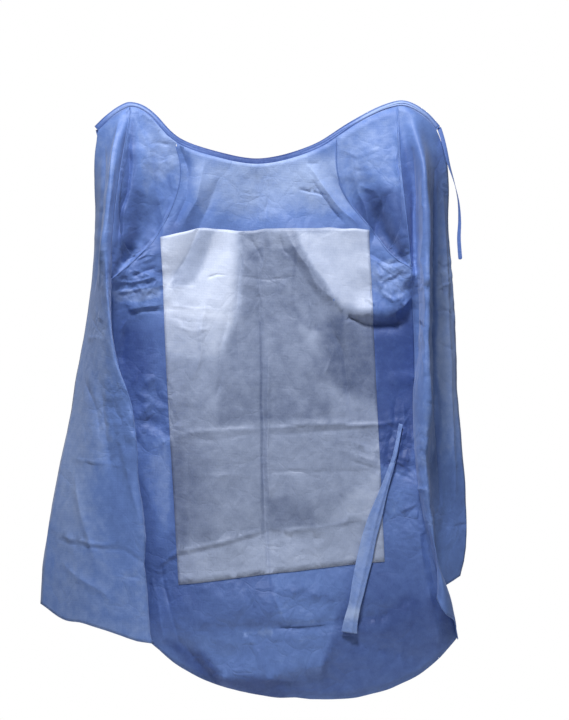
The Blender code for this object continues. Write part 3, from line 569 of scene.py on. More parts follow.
def keepCorners(work):
    # the notches where seams meet stay sharp when the sheet is smoothed
    sharp = work.verts.layers.float.get("crease_vert") or work.verts.layers.float.new("crease_vert")
    for vert in work.verts:
        rim = [e.other_vert(vert).co for e in vert.link_edges if e.is_boundary]
        if len(rim) == 2:
            bend = (vert.co - rim[0]).angle(rim[1] - vert.co, 0.0)
            if bend > sharpCorner:
                vert[sharp] = 1.0


def markTubeSeam(work, near):
    # one lengthwise line of edges, so that the tube can be laid flat
    vert = min((v for v in work.verts if v.is_boundary), key=lambda v: (v.co - Vector(near)).length)
    edge = next(e for e in vert.link_edges if not e.is_boundary)
    while True:
        edge.seam = True
        vert = edge.other_vert(vert)
        if vert.is_boundary:
            return
        edge = next(e for e in vert.link_edges
                    if not any(f in edge.link_faces for f in e.link_faces))


def layFlat(piece):
    # UV map in real metres
    selectOnly(piece)
    bpy.ops.object.mode_set(mode="EDIT")
    bpy.ops.mesh.select_all(action="SELECT")
    bpy.ops.uv.unwrap(method="ANGLE_BASED", margin=0.0)
    bpy.ops.object.mode_set(mode="OBJECT")
    mesh = piece.data
    flat = np.empty(len(mesh.loops) * 2)
    mesh.uv_layers.active.data.foreach_get("uv", flat)
    flat = flat.reshape(-1, 2)
    flatArea = 0.0
    for face in mesh.polygons:
        corner = flat[list(face.loop_indices)]
        flatArea += 0.5 * abs(np.dot(corner[:, 0], np.roll(corner[:, 1], 1))
                              - np.dot(corner[:, 1], np.roll(corner[:, 0], 1)))
    realArea = sum(face.area for face in mesh.polygons)
    flat *= math.sqrt(realArea / flatArea)
    mesh.uv_layers.active.data.foreach_set("uv", flat.ravel())
    return realArea


# what gets smaller faces: the inner share of each crumple whose facets are small enough, a band along
# each sharp crease and a narrower one along the crest of each wide one, but nothing hidden behind
refining = {"crumpleReach": 0.75, "fineFacet": 0.055, "sharpWidth": 0.0095, "band": 0.0060,
            "crest": 0.0026, "hidden": 0.105}


def finelyFolded(x, z, creases, crumples):
    fine = np.zeros(x.shape, bool)
    for centreX, centreZ, reach, depth, size in crumples:
        if size < refining["fineFacet"]:
            fine |= np.hypot(x - centreX, z - centreZ) < reach * refining["crumpleReach"]
    for rise, leftWidth, rightWidth, line in creases:
        wide = min(leftWidth, rightWidth) > refining["sharpWidth"]
        band = refining["crest"] if wide else min(max(leftWidth, rightWidth), refining["band"])
        fine |= fromLine(x, z, line) < band
    return fine


def refine(piece, spec, smoothTree):
    # splits the faces that need it, and sets the new points on the smooth surface
    work = bmesh.new()
    work.from_mesh(piece.data)
    creases = [*sharedFolds["creases"], *spec.get("creases", ())]
    crumples = [*sharedFolds["crumples"], *spec.get("crumples", ())]
    for _ in range(spec["extra"]):
        faces = list(work.faces)
        middles = np.array([f.calc_center_median() for f in faces])
        fine = finelyFolded(middles[:, 0], middles[:, 2], creases, crumples)
        fine &= middles[:, 1] <= refining["hidden"]
        edges = dict.fromkeys(e for f, needed in zip(faces, fine) if needed for e in f.edges)
        bmesh.ops.subdivide_edges(work, edges=list(edges), cuts=1, use_grid_fill=True)
    for vert in work.verts:
        place = smoothTree.find_nearest(vert.co, 0.01)[0]
        if place is not None:
            vert.co = place
    work.to_mesh(piece.data)
    work.free()


def objectOf(name, work):
    data = bpy.data.meshes.new(name)
    work.to_mesh(data)
    work.free()
    piece = bpy.data.objects.new(name, data)
    bpy.context.scene.collection.objects.link(piece)
    return piece


def makeSheet(name, node, spec):
    # one side of the CAD solid as quads, smoothed; its place stays in its mesh
    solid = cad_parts[node]
    work = oneSide(solid.data, spec["wall"], spec.get("side", "inside"))
    dissolveDiagonals(work)
    keepCorners(work)
    if "tubeSeam" in spec:
        markTubeSeam(work, spec["tubeSeam"])
    piece = objectOf(name, work)
    area = layFlat(piece)
    smooth = {"boundary_smooth": "PRESERVE_CORNERS"}
    if spec.get("extra"):
        fine = bpy.data.objects.new(name + "Fine", piece.data.copy())
        bpy.context.scene.collection.objects.link(fine)
        count = spec["levels"] + spec["extra"]
        applyModifier(fine, "SUBSURF", {"levels": count, "render_levels": count, **smooth})
        tree = BVHTree.FromObject(fine, bpy.context.evaluated_depsgraph_get())
        bpy.data.objects.remove(fine)
    applyModifier(piece, "SUBSURF", {"levels": spec["levels"], "render_levels": spec["levels"], **smooth})
    if spec.get("extra"):
        refine(piece, spec, tree)
    print("sheet", name, "quads", len(piece.data.polygons), "area", round(area, 3))
    return piece


# folds that run on from piece to piece, with crumpled patches: centre x, z, reach, depth, facet size
sharedFolds = {
    "creases": inMetres({**frontCreases, **sleeveLeftCreases, **sleeveRightCreases}),
    "crumples": [
        (0.29, -0.34, 0.070, 0.046, 0.044), (-0.27, -0.34, 0.070, 0.034, 0.042),
        (0.30, -0.70, 0.085, 0.026, 0.048), (-0.26, -0.62, 0.110, 0.024, 0.050),
        (0.02, -0.36, 0.120, 0.007, 0.050), (0.0, -0.75, 0.300, 0.007, 0.090),
        (0.02, -1.10, 0.260, 0.030, 0.110), (0.0, -0.14, 0.140, 0.009, 0.080),
        (0.32, -0.85, 0.100, 0.022, 0.060), (-0.21, -1.00, 0.090, 0.016, 0.070),
        (-0.24, -0.10, 0.090, 0.008, 0.050), (0.24, -0.10, 0.090, 0.008, 0.050),
    ],
    "seed": 3.0, "nearest": 0.11, "blend": 0.04,
}


def openEdges(mesh):
    # the ends of every edge that only one face uses
    used = np.empty(len(mesh.loops), int)
    mesh.loops.foreach_get("edge_index", used)
    once = np.flatnonzero(np.bincount(used, minlength=len(mesh.edges)) == 1)
    ends = np.empty(len(mesh.edges) * 2, int)
    mesh.edges.foreach_get("vertices", ends)
    return ends.reshape(-1, 2)[once]


def treeOf(points):
    tree = kdtree.KDTree(max(1, len(points)))
    for i, point in enumerate(points):
        tree.insert(point, i)
    tree.balance()
    return tree


def edgeSamples(mesh):
    points, pairs = meshPoints(mesh), openEdges(mesh)
    first, second = points[pairs[:, 0]], points[pairs[:, 1]]
    return np.concatenate([first + (second - first) * t for t in (0.0, 0.2, 0.4, 0.6, 0.8)])


def vertexNormals(mesh):
    normals = np.empty(len(mesh.vertices) * 3)
    mesh.vertices.foreach_get("normal", normals)
    return normals.reshape(-1, 3)


# how far apart two edges may be; the distances at which a tucked edge starts to be drawn and is drawn
# fully; what lies inside a binding or cuff, and how deep it goes in; how far the shift spreads
sewing = {"reach": 0.011, "free": 0.010, "full": 0.004, "tucked": 0.0055, "tuck": 0.0025,
          "spread": 0.030, "neighbours": 6}


def sewTogether(sheets, joins):
    # open edges that meet are drawn to one line; an edge inside a binding or cuff is tucked in
    samples = {name: edgeSamples(piece.data) for name, piece in sheets.items()}
    trees = {name: treeOf(points) for name, points in samples.items()}
    moved, seams = {}, {}
    for name, others in joins.items():
        mesh = sheets[name].data
        points = meshPoints(mesh)
        rim = rimOf(mesh)
        shifts, labels = {}, {}
        enclosing = [other for other in others if other == "neckBinding" or other.startswith("cuff")]
        for v in rim:
            point, shift, label = points[v], np.zeros(3), None
            tucked = any(trees[other].find(point)[2] < sewing["tucked"] for other in enclosing)
            found = [trees[other].find(point) + (other,) for other in others if other not in enclosing]
            place, _, distance, other = min(found, key=lambda hit: hit[2])
            if distance < sewing["reach"]:
                drawn = evenStep((sewing["free"] - distance) / (sewing["free"] - sewing["full"]))
                halfWay = (np.array(place) - point) * 0.5
                shift = halfWay * (drawn if tucked else 1)
                label = other
            for other in enclosing:
                place, _, distance = trees[other].find(point + shift)
                if distance < sewing["tucked"]:
                    way = np.array(place) - point - shift
                    shift = shift + way * (1 + sewing["tuck"] / max(distance, 1e-4))
                    label = other
            if label:
                shifts[v], labels[v] = shift, label
        order = sorted(shifts)
        near = treeOf([points[v] for v in order])
        result = points.copy()
        for i, point in enumerate(points):
            distance = near.find(point)[2]
            if distance < sewing["spread"]:
                hits = near.find_n(point, sewing["neighbours"])
                pull = np.array([(hit[2] + 1e-4) ** -3 for hit in hits])
                shift = sum(shifts[order[hit[1]]] * p for hit, p in zip(hits, pull)) / pull.sum()
                result[i] += shift * evenStep(1 - distance / sewing["spread"])
        moved[name], seams[name] = result, labels
    for name, points in moved.items():
        setPoints(sheets[name].data, points)
    return seams


def seamRuns(mesh, labels, wanted):
    # ordered runs of edge points that are sewn to one other piece
    nextTo = {}
    for a, b in openEdges(mesh).tolist():
        if labels.get(a) == wanted and labels.get(b) == wanted:
            nextTo.setdefault(a, []).append(b)
            nextTo.setdefault(b, []).append(a)
    runs, left = [], set(nextTo)
    while left:
        start = next((v for v in sorted(left) if len(nextTo[v]) == 1), min(left))
        run = [start]
        left.discard(start)
        while True:
            after = [v for v in nextTo[run[-1]] if v in left]
            if not after:
                break
            run.append(after[0])
            left.discard(after[0])
        runs.append(run)
    return max(runs, key=len)


def distancesTo(places, points):
    tree = treeOf(places)
    return np.array([tree.find(p)[2] for p in points])


def rimOf(mesh):
    # the vertices on open edges
    return sorted(set(openEdges(mesh).ravel().tolist()))


# cross-section in widths and thicknesses, its points' mean distance in widths, and the share of the
# width that comes and goes along a strip, with its turn at each step
strip = {"profile": [(-0.5, 0.0), (-0.46, 0.5), (0.0, 0.62), (0.46, 0.5), (0.5, 0.0), (0.46, -0.5),
                     (0.0, -0.4), (-0.46, -0.5)], "apart": 0.26, "narrowing": 0.10, "turn": 1.7}


def directionAt(path, i):
    return (path[min(i + 1, len(path) - 1)] - path[max(i - 1, 0)]).normalized()


def sweepStrip(name, path, across, out, width, thick):
    # a flat strip with rounded edges along a path; UV in real metres
    work = bmesh.new()
    flat = work.loops.layers.uv.new("UVMap")
    rings = []
    for i, centre in enumerate(path):
        wide = width * (1.0 - strip["narrowing"] * math.sin(i * strip["turn"]) ** 2)
        rings.append([work.verts.new(centre + across[i] * wide * u + out[i] * thick * v)
                      for u, v in strip["profile"]])
    run = 0.0
    for i, (ring, after) in enumerate(zip(rings, rings[1:])):
        step = (path[i + 1] - path[i]).length
        for j in range(len(ring)):
            k = (j + 1) % len(ring)
            face = work.faces.new((ring[j], ring[k], after[k], after[j]))
            for loop, (u, v) in zip(face.loops, ((j, 0), (j + 1, 0), (j + 1, 1), (j, 1))):
                loop[flat].uv = (u * width * strip["apart"], run + v * step)
        run += step
    work.faces.new(rings[0])
    work.faces.new(list(reversed(rings[-1])))
    bmesh.ops.recalc_face_normals(work, faces=work.faces)
    swept = objectOf(name, work)
    applyModifier(swept, "SUBSURF", {"levels": 1, "render_levels": 1})
    selectOnly(swept)
    bpy.ops.object.shade_smooth()
    return swept


# the finest wrinkles: their greatest share, size of the loose patches they come in, how sharply and
# how seldom these start, size of their own unevenness, and how deep a crumple shows them fully
wrinkling = {"share": 0.55, "patchSize": 0.110, "onset": 2.4, "rarity": 0.9, "size": 0.035,
             "fullDepth": 0.016}


def setPaintedShadeAndWrinkles(piece, base, patches, seed, zones=(), paintedEdgeShade=0.0):
    # point attributes for the material: depth of colour from painted light, painted shade and mottling, and
    # share of fine wrinkles
    points = meshPoints(piece.data)
    x, z = points[:, 0], points[:, 2]
    values = layerOf(x, z, base, patches, seed, zones)
    clouds = smoothNoise(x, z, wrinkling["patchSize"], seed + 21)
    patchy = evenStep(wrinkling["onset"] * clouds - wrinkling["rarity"])
    crumpled = wrinkling["share"] * patchy * smoothNoise(x, z, wrinkling["size"], seed + 25)
    for centreX, centreZ, reach, depth, size in sharedFolds["crumples"]:
        away = np.hypot(x - centreX, z - centreZ) / reach
        crumpled = np.maximum(crumpled, min(1.0, depth / wrinkling["fullDepth"]) * np.exp(-away**2))
    # painted shade along the piece's open edges
    if paintedEdgeShade:
        away = distancesTo(points[rimOf(piece.data)], points)
        values = np.clip(values - paintedEdgeShade * np.exp(-(away / binding["edgeWidth"]) ** 2),
                         mottling["least"], mottling["most"])
    for title, numbers in (("layer", values), ("crumpled", crumpled)):
        attribute = piece.data.attributes.new(title, "FLOAT", "POINT")
        attribute.data.foreach_set("value", numbers.astype(np.float32))


def finishSheet(piece, node, spec, material):
    setPaintedShadeAndWrinkles(piece, spec.get("layer", 0.5), spec.get("patches", ()), spec.get("seed", 1.0) + 60,
             spec.get("zones", ()), spec.get("paintedEdgeShade", 0.0))
    applyModifier(piece, "SOLIDIFY", {"thickness": spec["shell"], "offset": -1.0})
    selectOnly(piece)
    bpy.ops.object.shade_smooth()
    piece.data.materials.clear()
    piece.data.materials.append(material)
    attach(piece, "root")
    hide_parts(node)


panelCloth = {"wall": 0.0012, "levels": 2, "extra": 2, "shell": 0.0006, "held": "hung"}
front = {
    **panelCloth, "seed": 3.0, "flat": (0.80, 1.26), "cutArea": 0.74, "layer": 0.33,
    # patches and zones of painted light and painted shade: paler near the top where more light falls, lighter
    # on the lit faces of folds and darker on their shaded faces
    "patches": [
        (-0.02, -0.12, 0.17, 0.09, 0.50), (-0.17, -0.14, 0.05, 0.12, 0.15), (0.14, -0.12, 0.09, 0.07, 0.25),
        (0.25, -0.33, 0.08, 0.06, 0.18), (0.30, -0.48, 0.05, 0.08, -0.40), (0.28, -0.64, 0.05, 0.06, -0.20),
        (-0.29, -0.49, 0.05, 0.08, -0.25), (-0.27, -0.39, 0.07, 0.05, 0.18), (0.26, -1.00, 0.10, 0.10, -0.18),
        (-0.20, -1.02, 0.07, 0.10, -0.10),
    ],
    "zones": [
        (-0.18, 14, [(-186, -49), (-146, -81), (-150, -242), (-225, -274), (-190, -167)]),
        (-0.34, 6, [(229, -432), (306, -432), (323, -595), (310, -750), (246, -740), (242, -445)]),
        (-0.08, 12, [(-325, -445), (-278, -445), (-246, -638), (-225, -937), (-246, -1023), (-289, -681)]),
        (0.12, 6, [(-268, -745), (-214, -702), (-199, -766), (-199, -895), (-246, -852)]),
        (0.16, 4, [(272, -809), (310, -788), (293, -835), (263, -852)]),
        (-0.10, 10, [(242, -445), (310, -445), (315, -681), (257, -681)]),
        (-0.03, 10, [(-306, -434), (-208, -434), (-199, -681), (-289, -659)]),
        (0.16, 6, [(-308, -676), (-199, -685), (-199, -745), (-212, -895), (-229, -899), (-261, -788)]),
        (0.16, 4, [(-327, -364), (-278, -360), (-229, -349), (-225, -372), (-268, -387), (-323, -392)]),
        (0.14, 4, [(225, -300), (289, -291), (315, -317), (306, -381), (257, -372), (229, -349)]),
        (-0.22, 4, [(186, -300), (212, -291), (227, -330), (208, -355)]),
        (-0.26, 4, [(163, -398), (214, -419), (310, -419), (310, -441), (214, -445), (163, -411)]),
        (-0.16, 5, [(272, -432), (315, -432), (315, -539), (280, -531)]),
        (0.14, 3, [(19, -1010), (161, -1031), (148, -1076), (39, -1083)]),
        (0.10, 3, [(-158, -1100), (-75, -1096), (19, -1091), (148, -1079), (148, -1091), (120, -1168),
            (41, -1179), (19, -1190), (-88, -1192), (-133, -1141)]),
        (0.18, 2, [(-73, -1087), (19, -1085), (15, -1102), (-43, -1100)]),
        (-0.16, 6, [(148, -1091), (257, -1049), (310, -1023), (396, -1002), (415, -1109), (357, -1151),
            (257, -1216), (139, -1230), (41, -1237), (41, -1198), (120, -1173)]),
        (-0.36, 10, [(-214, -1109), (-139, -1141), (-88, -1194), (41, -1194), (41, -1237), (-53, -1237),
            (-139, -1194)]),
        (0.14, 4, [(13, -976), (75, -950), (193, -937), (193, -1019), (150, -1023), (68, -997),
            (19, -1006)]),
        (-0.06, 6, [(-203, -1002), (13, -959), (13, -1079), (-139, -1091), (-199, -1049)]),
    ],
}
backPanels = {
    # back panels: a paler base as painted light through their single layer, and patches and zones of painted
    # light and painted shade along their folds
    "left": {
        **panelCloth, "seed": 21.0, "flat": (0.36, 1.13), "cutArea": 0.33, "layer": 0.55,
        "creases": inMetres(backLeftCreases),
        "crumples": [(-0.34, -0.75, 0.300, 0.010, 0.090), (-0.34, -0.20, 0.150, 0.006, 0.060)],
        "zones": [
            (-0.22, 8, [(-312, -39), (-289, -6), (-291, -253), (-319, -334), (-336, -334), (-319, -231)]),
            (0.08, 6, [(-360, -445), (-334, -445), (-336, -719), (-360, -719)]),
            (-0.16, 8, [(-317, -449), (-285, -458), (-289, -509), (-315, -505)]),
        ],
        "patches": [(-0.34, -0.12, 0.06, 0.22, -0.03), (-0.42, -0.72, 0.05, 0.30, 0.14),
                    (-0.30, -0.75, 0.04, 0.20, -0.14)],
    },
    "right": {
        **panelCloth, "seed": 27.0, "flat": (0.28, 1.13), "cutArea": 0.25, "layer": 0.50,
        "creases": inMetres(backRightCreases),
        "zones": [
            (-0.20, 8, [(291, -45), (312, -62), (317, -381), (323, -638), (310, -638), (297, -381)]),
            (-0.22, 6, [(360, -60), (368, -60), (372, -445), (379, -745), (370, -745), (364, -445)]),
        ],
        "crumples": [(0.36, -0.45, 0.200, 0.010, 0.060), (0.38, -0.85, 0.220, 0.010, 0.065),
                     (0.40, -0.33, 0.060, 0.010, 0.030)],
        "patches": [(0.335, -0.13, 0.035, 0.13, -0.16), (0.40, -0.48, 0.04, 0.26, 0.24),
                    (0.41, -0.85, 0.05, 0.16, -0.16)],
    },
}
# sleeves: patches of painted light near the neck and zones of painted shade in their valleys and hollows
sleeves = {
    "left": {
        **panelCloth, "side": "inner", "seed": 33.0, "tubeSeam": (-0.327, -0.018, -0.338), "layer": 0.52,
        "flat": (0.40, 0.80), "cutArea": 0.245,
        "crumples": [(-0.25, -0.30, 0.120, 0.010, 0.050), (-0.26, -0.62, 0.200, 0.010, 0.060)],
        "patches": [(-0.22, -0.06, 0.05, 0.10, 0.18)],
        "zones": [
            (-0.32, 10, [(-287, 4), (-272, -81), (-261, -167), (-274, -253), (-315, -338), (-336, -338),
                (-315, -231), (-306, -103)]),
            (-0.16, 14, [(-246, -146), (-190, -103), (-190, -167), (-225, -274), (-278, -300),
                (-268, -220)]),
        ],
    },
    "right": {
        **panelCloth, "side": "inner", "seed": 39.0, "tubeSeam": (0.312, -0.020, -0.314), "layer": 0.52,
        "flat": (0.40, 0.80), "cutArea": 0.25,
        "crumples": [(0.24, -0.30, 0.120, 0.010, 0.050), (0.25, -0.62, 0.200, 0.010, 0.060)],
        "patches": [(0.20, -0.05, 0.06, 0.08, 0.10)],
        "zones": [
            (-0.40, 14, [(186, -178), (242, -135), (293, -156), (310, -253), (297, -300), (229, -282),
                (197, -225)]),
        ],
    },
}
knitCuff = {"wall": 0.0018, "levels": 3, "shell": 0.0010, "side": "outer", "flat": (0.22, 0.068),
            "cutArea": 0.0149, "held": "stretched", "ribs": 62, "ribDepth": 0.0005, "oval": 2.2}
cuffs = {"left": {**knitCuff, "centre": (-0.254, 0.122), "tubeSeam": (-0.254, 0.149, -0.770)},
         "right": {**knitCuff, "centre": (0.250, 0.122), "tubeSeam": (0.250, 0.149, -0.776)}}
# binding: painted light on its slopes, painted shade in the middle and painted shade along its edges
binding = {"wall": 0.0024, "levels": 3, "shell": 0.0018, "flat": (0.014, 0.86), "cutArea": 0.0120,
           "held": "folded", "seed": 51.0, "layer": 0.40, "paintedEdgeShade": 0.30, "edgeWidth": 0.0022,
           "patches": [(0.27, 0.02, 0.12, 0.05, 0.58), (-0.28, 0.02, 0.07, 0.05, 0.38),
                       (-0.03, -0.07, 0.10, 0.04, -0.22)],
           # lengthwise folds, deeper where the cloth is pulled: x, half length and strength
           "pulls": [(0.27, 0.11, 1.0), (-0.28, 0.07, 0.6)], "atRest": 0.25, "foldDepth": 0.0012,
           "foldPitch": 0.0035, "flatRim": 0.002, "drift": 3, "driftSize": 0.05}

sheets = {"frontPanel": makeSheet("frontPanel", "front_panel", front),
          "neckBinding": makeSheet("neckBinding", "neck_binding", binding)}
for side in ("left", "right"):
    for title, node, specs in (("backPanel", "back_panel_", backPanels), ("sleeve", "sleeve_", sleeves),
                               ("cuff", "cuff_", cuffs)):
        name = title + side.title()
        sheets[name] = makeSheet(name, node + side, specs[side])


def firstHit(tree, x, z):
    # depth of the first surface met on the way in from the open back
    hit = tree.ray_cast(Vector((x, -0.5, z)), Vector((0.0, 1.0, 0.0)))[0]
    return hit.y if hit else None


def treeOfSheet(name):
    return BVHTree.FromObject(sheets[name], bpy.context.evaluated_depsgraph_get())


# the throat of each sleeve hangs flat between its seams, behind the panels it is sewn to
throat = {"flat": 0.15, "top": -0.290, "foot": -0.400, "low": -0.420, "behind": 0.004}
for side in ("left", "right"):
    mesh = sheets["sleeve" + side.title()].data
    points = meshPoints(mesh)
    covers = [treeOfSheet("frontPanel"), treeOfSheet("backPanel" + side.title())]
    rim = points[rimOf(mesh)]
    rim = rim[rim[:, 2] > throat["low"]][::3]
    flatness = evenStep((points[:, 2] - throat["foot"]) / (throat["top"] - throat["foot"]))
    for i in np.flatnonzero(flatness > 0):
        x, y, z = points[i]
        pull = (np.hypot(rim[:, 0] - x, rim[:, 2] - z) + 1e-4) ** -4
        level = float(pull @ rim[:, 1] / pull.sum())
        deeper = level + (y - level) * (1 - (1 - throat["flat"]) * flatness[i])
        for cover in covers:
            met = firstHit(cover, x, z)
            if met is not None and y > met + throat["behind"]:
                deeper = max(deeper, met + throat["behind"])
        points[i, 1] = deeper
    setPoints(mesh, points)
print("sleeve throats laid flat")

joins = {"frontPanel": ["neckBinding", "sleeveLeft", "sleeveRight", "backPanelLeft", "backPanelRight"]}
for side in ("Left", "Right"):
    joins["backPanel" + side] = ["neckBinding", "frontPanel", "sleeve" + side]
    joins["sleeve" + side] = ["neckBinding", "frontPanel", "backPanel" + side, "cuff" + side]
seams = sewTogether(sheets, joins)
print("edges sewn together")

# free hems are a little uneven, and the left one droops at its outer end
hem = {"below": -0.92, "reach": 0.050, "rise": 0.007, "wave": 0.095, "waveSeed": 91.0, "steps": 0.033,
       "stepsSeed": 95.0, "droop": 0.014, "droopAt": -0.435, "droopWidth": 0.050, "droopReach": 0.120}
for name in ("frontPanel", "backPanelLeft", "backPanelRight"):
    mesh = sheets[name].data
    points = meshPoints(mesh)
    free = [points[v] for v in rimOf(mesh) if v not in seams[name] and points[v][2] < hem["below"]]
    away = distancesTo(free, points)
    x = points[:, 0]
    wave = (flatFacets(x, np.zeros_like(x), hem["wave"], hem["waveSeed"]) - 0.5
            + 0.5 * (flatFacets(x, np.zeros_like(x), hem["steps"], hem["stepsSeed"]) - 0.5))
    points[:, 2] += hem["rise"] * wave * evenStep(1 - away / hem["reach"])
    corner = np.exp(-((x - hem["droopAt"]) / hem["droopWidth"]) ** 2)
    points[:, 2] -= hem["droop"] * corner * evenStep(1 - away / hem["droopReach"])
    setPoints(mesh, points)

# the whole gown takes the folds that it shares, then each piece its own
for name, piece in sheets.items():
    points = meshPoints(piece.data)
    shared = reliefOf(points[:, 0], points[:, 2], sharedFolds["creases"], sharedFolds["crumples"],
                      sharedFolds["seed"])
    if name.startswith(("sleeve", "cuff")):    # the tubes that hang behind stay as they are
        shared *= np.clip((sharedFolds["nearest"] - points[:, 1]) / sharedFolds["blend"], 0, 1)
    points[:, 1] -= shared
    setPoints(piece.data, points)
sewnFlat = 0.016    # how far from a seam a piece's own folds start
for side in ("left", "right"):
    for title, specs in (("backPanel", backPanels), ("sleeve", sleeves)):
        name, spec = title + side.title(), specs[side]
        mesh = sheets[name].data
        points = meshPoints(mesh)
        own = reliefOf(points[:, 0], points[:, 2], spec.get("creases", ()), spec["crumples"], spec["seed"])
        own *= evenStep(distancesTo([points[v] for v in seams[name]], points) / sewnFlat)
        points += vertexNormals(mesh) * own[:, None]
        setPoints(mesh, points)
    spec = cuffs[side]
    mesh = sheets["cuff" + side.title()].data
    points = meshPoints(mesh)
    centreX, centreY = spec["centre"]
    angle = np.arctan2((points[:, 1] - centreY) * spec["oval"], points[:, 0] - centreX)
    points += vertexNormals(mesh) * (spec["ribDepth"] * np.cos(angle * spec["ribs"]))[:, None]
    setPoints(mesh, points)
mesh = sheets["neckBinding"].data
points = meshPoints(mesh)
x, z = points[:, 0], points[:, 2]
away = distancesTo(points[rimOf(mesh)], points)
pulled = binding["atRest"] + sum(strength * np.exp(-((x - centre) / half) ** 2)
                                 for centre, half, strength in binding["pulls"])
drift = binding["drift"] * smoothNoise(x, z, binding["driftSize"], binding["seed"] + 2)
fold = np.cos(away / binding["foldPitch"] * math.pi + drift)
points[:, 1] -= binding["foldDepth"] * pulled * fold * np.clip(away / binding["flatRim"], 0, 1)
setPoints(mesh, points)
frontFace = treeOfSheet("frontPanel")
print("folds made")

# overlocked seams, seen from the inside as narrow raised lines
overlock = {"width": 0.0028, "thick": 0.0011, "lift": 0.0005, "step": 0.006, "runOn": 0.005,
            "underBinding": 0.015, "seed": 5.0}


def makeSeam(name, first, second, layer, runOn, topRunOn):
    mesh = sheets[first].data
    run = seamRuns(mesh, seams[first], second)
    points, normals = meshPoints(mesh), vertexNormals(mesh)
    kept = [run[0]]
    for v in run[1:]:
        if np.linalg.norm(points[v] - points[kept[-1]]) > overlock["step"]:
            kept.append(v)
    out = [Vector(normals[v]).normalized() for v in kept]
    path = [Vector(points[v]) + n * overlock["lift"] for v, n in zip(kept, out)]
    firstOn, lastOn = (topRunOn, runOn) if path[0].z > path[-1].z else (runOn, topRunOn)
    path = ([path[0] + (path[0] - path[1]).normalized() * firstOn] + path
            + [path[-1] + (path[-1] - path[-2]).normalized() * lastOn])
    out = [out[0]] + out + [out[-1]]
    across = [directionAt(path, i).cross(n).normalized() for i, n in enumerate(out)]
    seam = sweepStrip(name, path, across, out, overlock["width"], overlock["thick"])
    seam.data.materials.append(spunbond)
    setPaintedShadeAndWrinkles(seam, layer, (), overlock["seed"])
    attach(seam, "root")
    print("seam", name, "points", len(path))


# the raglan and back seams run up under the neck binding, the side seams don't
for title, first, second, layer, topRunOn in (
        ("raglanSeam", "frontPanel", "sleeve", 0.36, overlock["underBinding"]),
        ("sideSeam", "frontPanel", "backPanel", 0.40, overlock["runOn"]),
        ("backSeam", "backPanel", "sleeve", 0.50, overlock["underBinding"])):
    for side in ("Left", "Right"):
        onPanel = first if first == "frontPanel" else first + side
        makeSeam(title + side, onPanel, second + side, layer, overlock["runOn"], topRunOn)

finishSheet(sheets["frontPanel"], "front_panel", front, spunbond)
for side in ("left", "right"):
    finishSheet(sheets["backPanel" + side.title()], "back_panel_" + side, backPanels[side], spunbond)
    finishSheet(sheets["sleeve" + side.title()], "sleeve_" + side, sleeves[side], spunbond)
    finishSheet(sheets["cuff" + side.title()], "cuff_" + side, cuffs[side], ribKnit)
finishSheet(sheets["neckBinding"], "neck_binding", binding, foldedBinding)
applyModifier(sheets["neckBinding"], "BEVEL", {"width": 0.0005, "segments": 2, "limit_method": "ANGLE"})
print("body, sleeves, cuffs and binding finished")

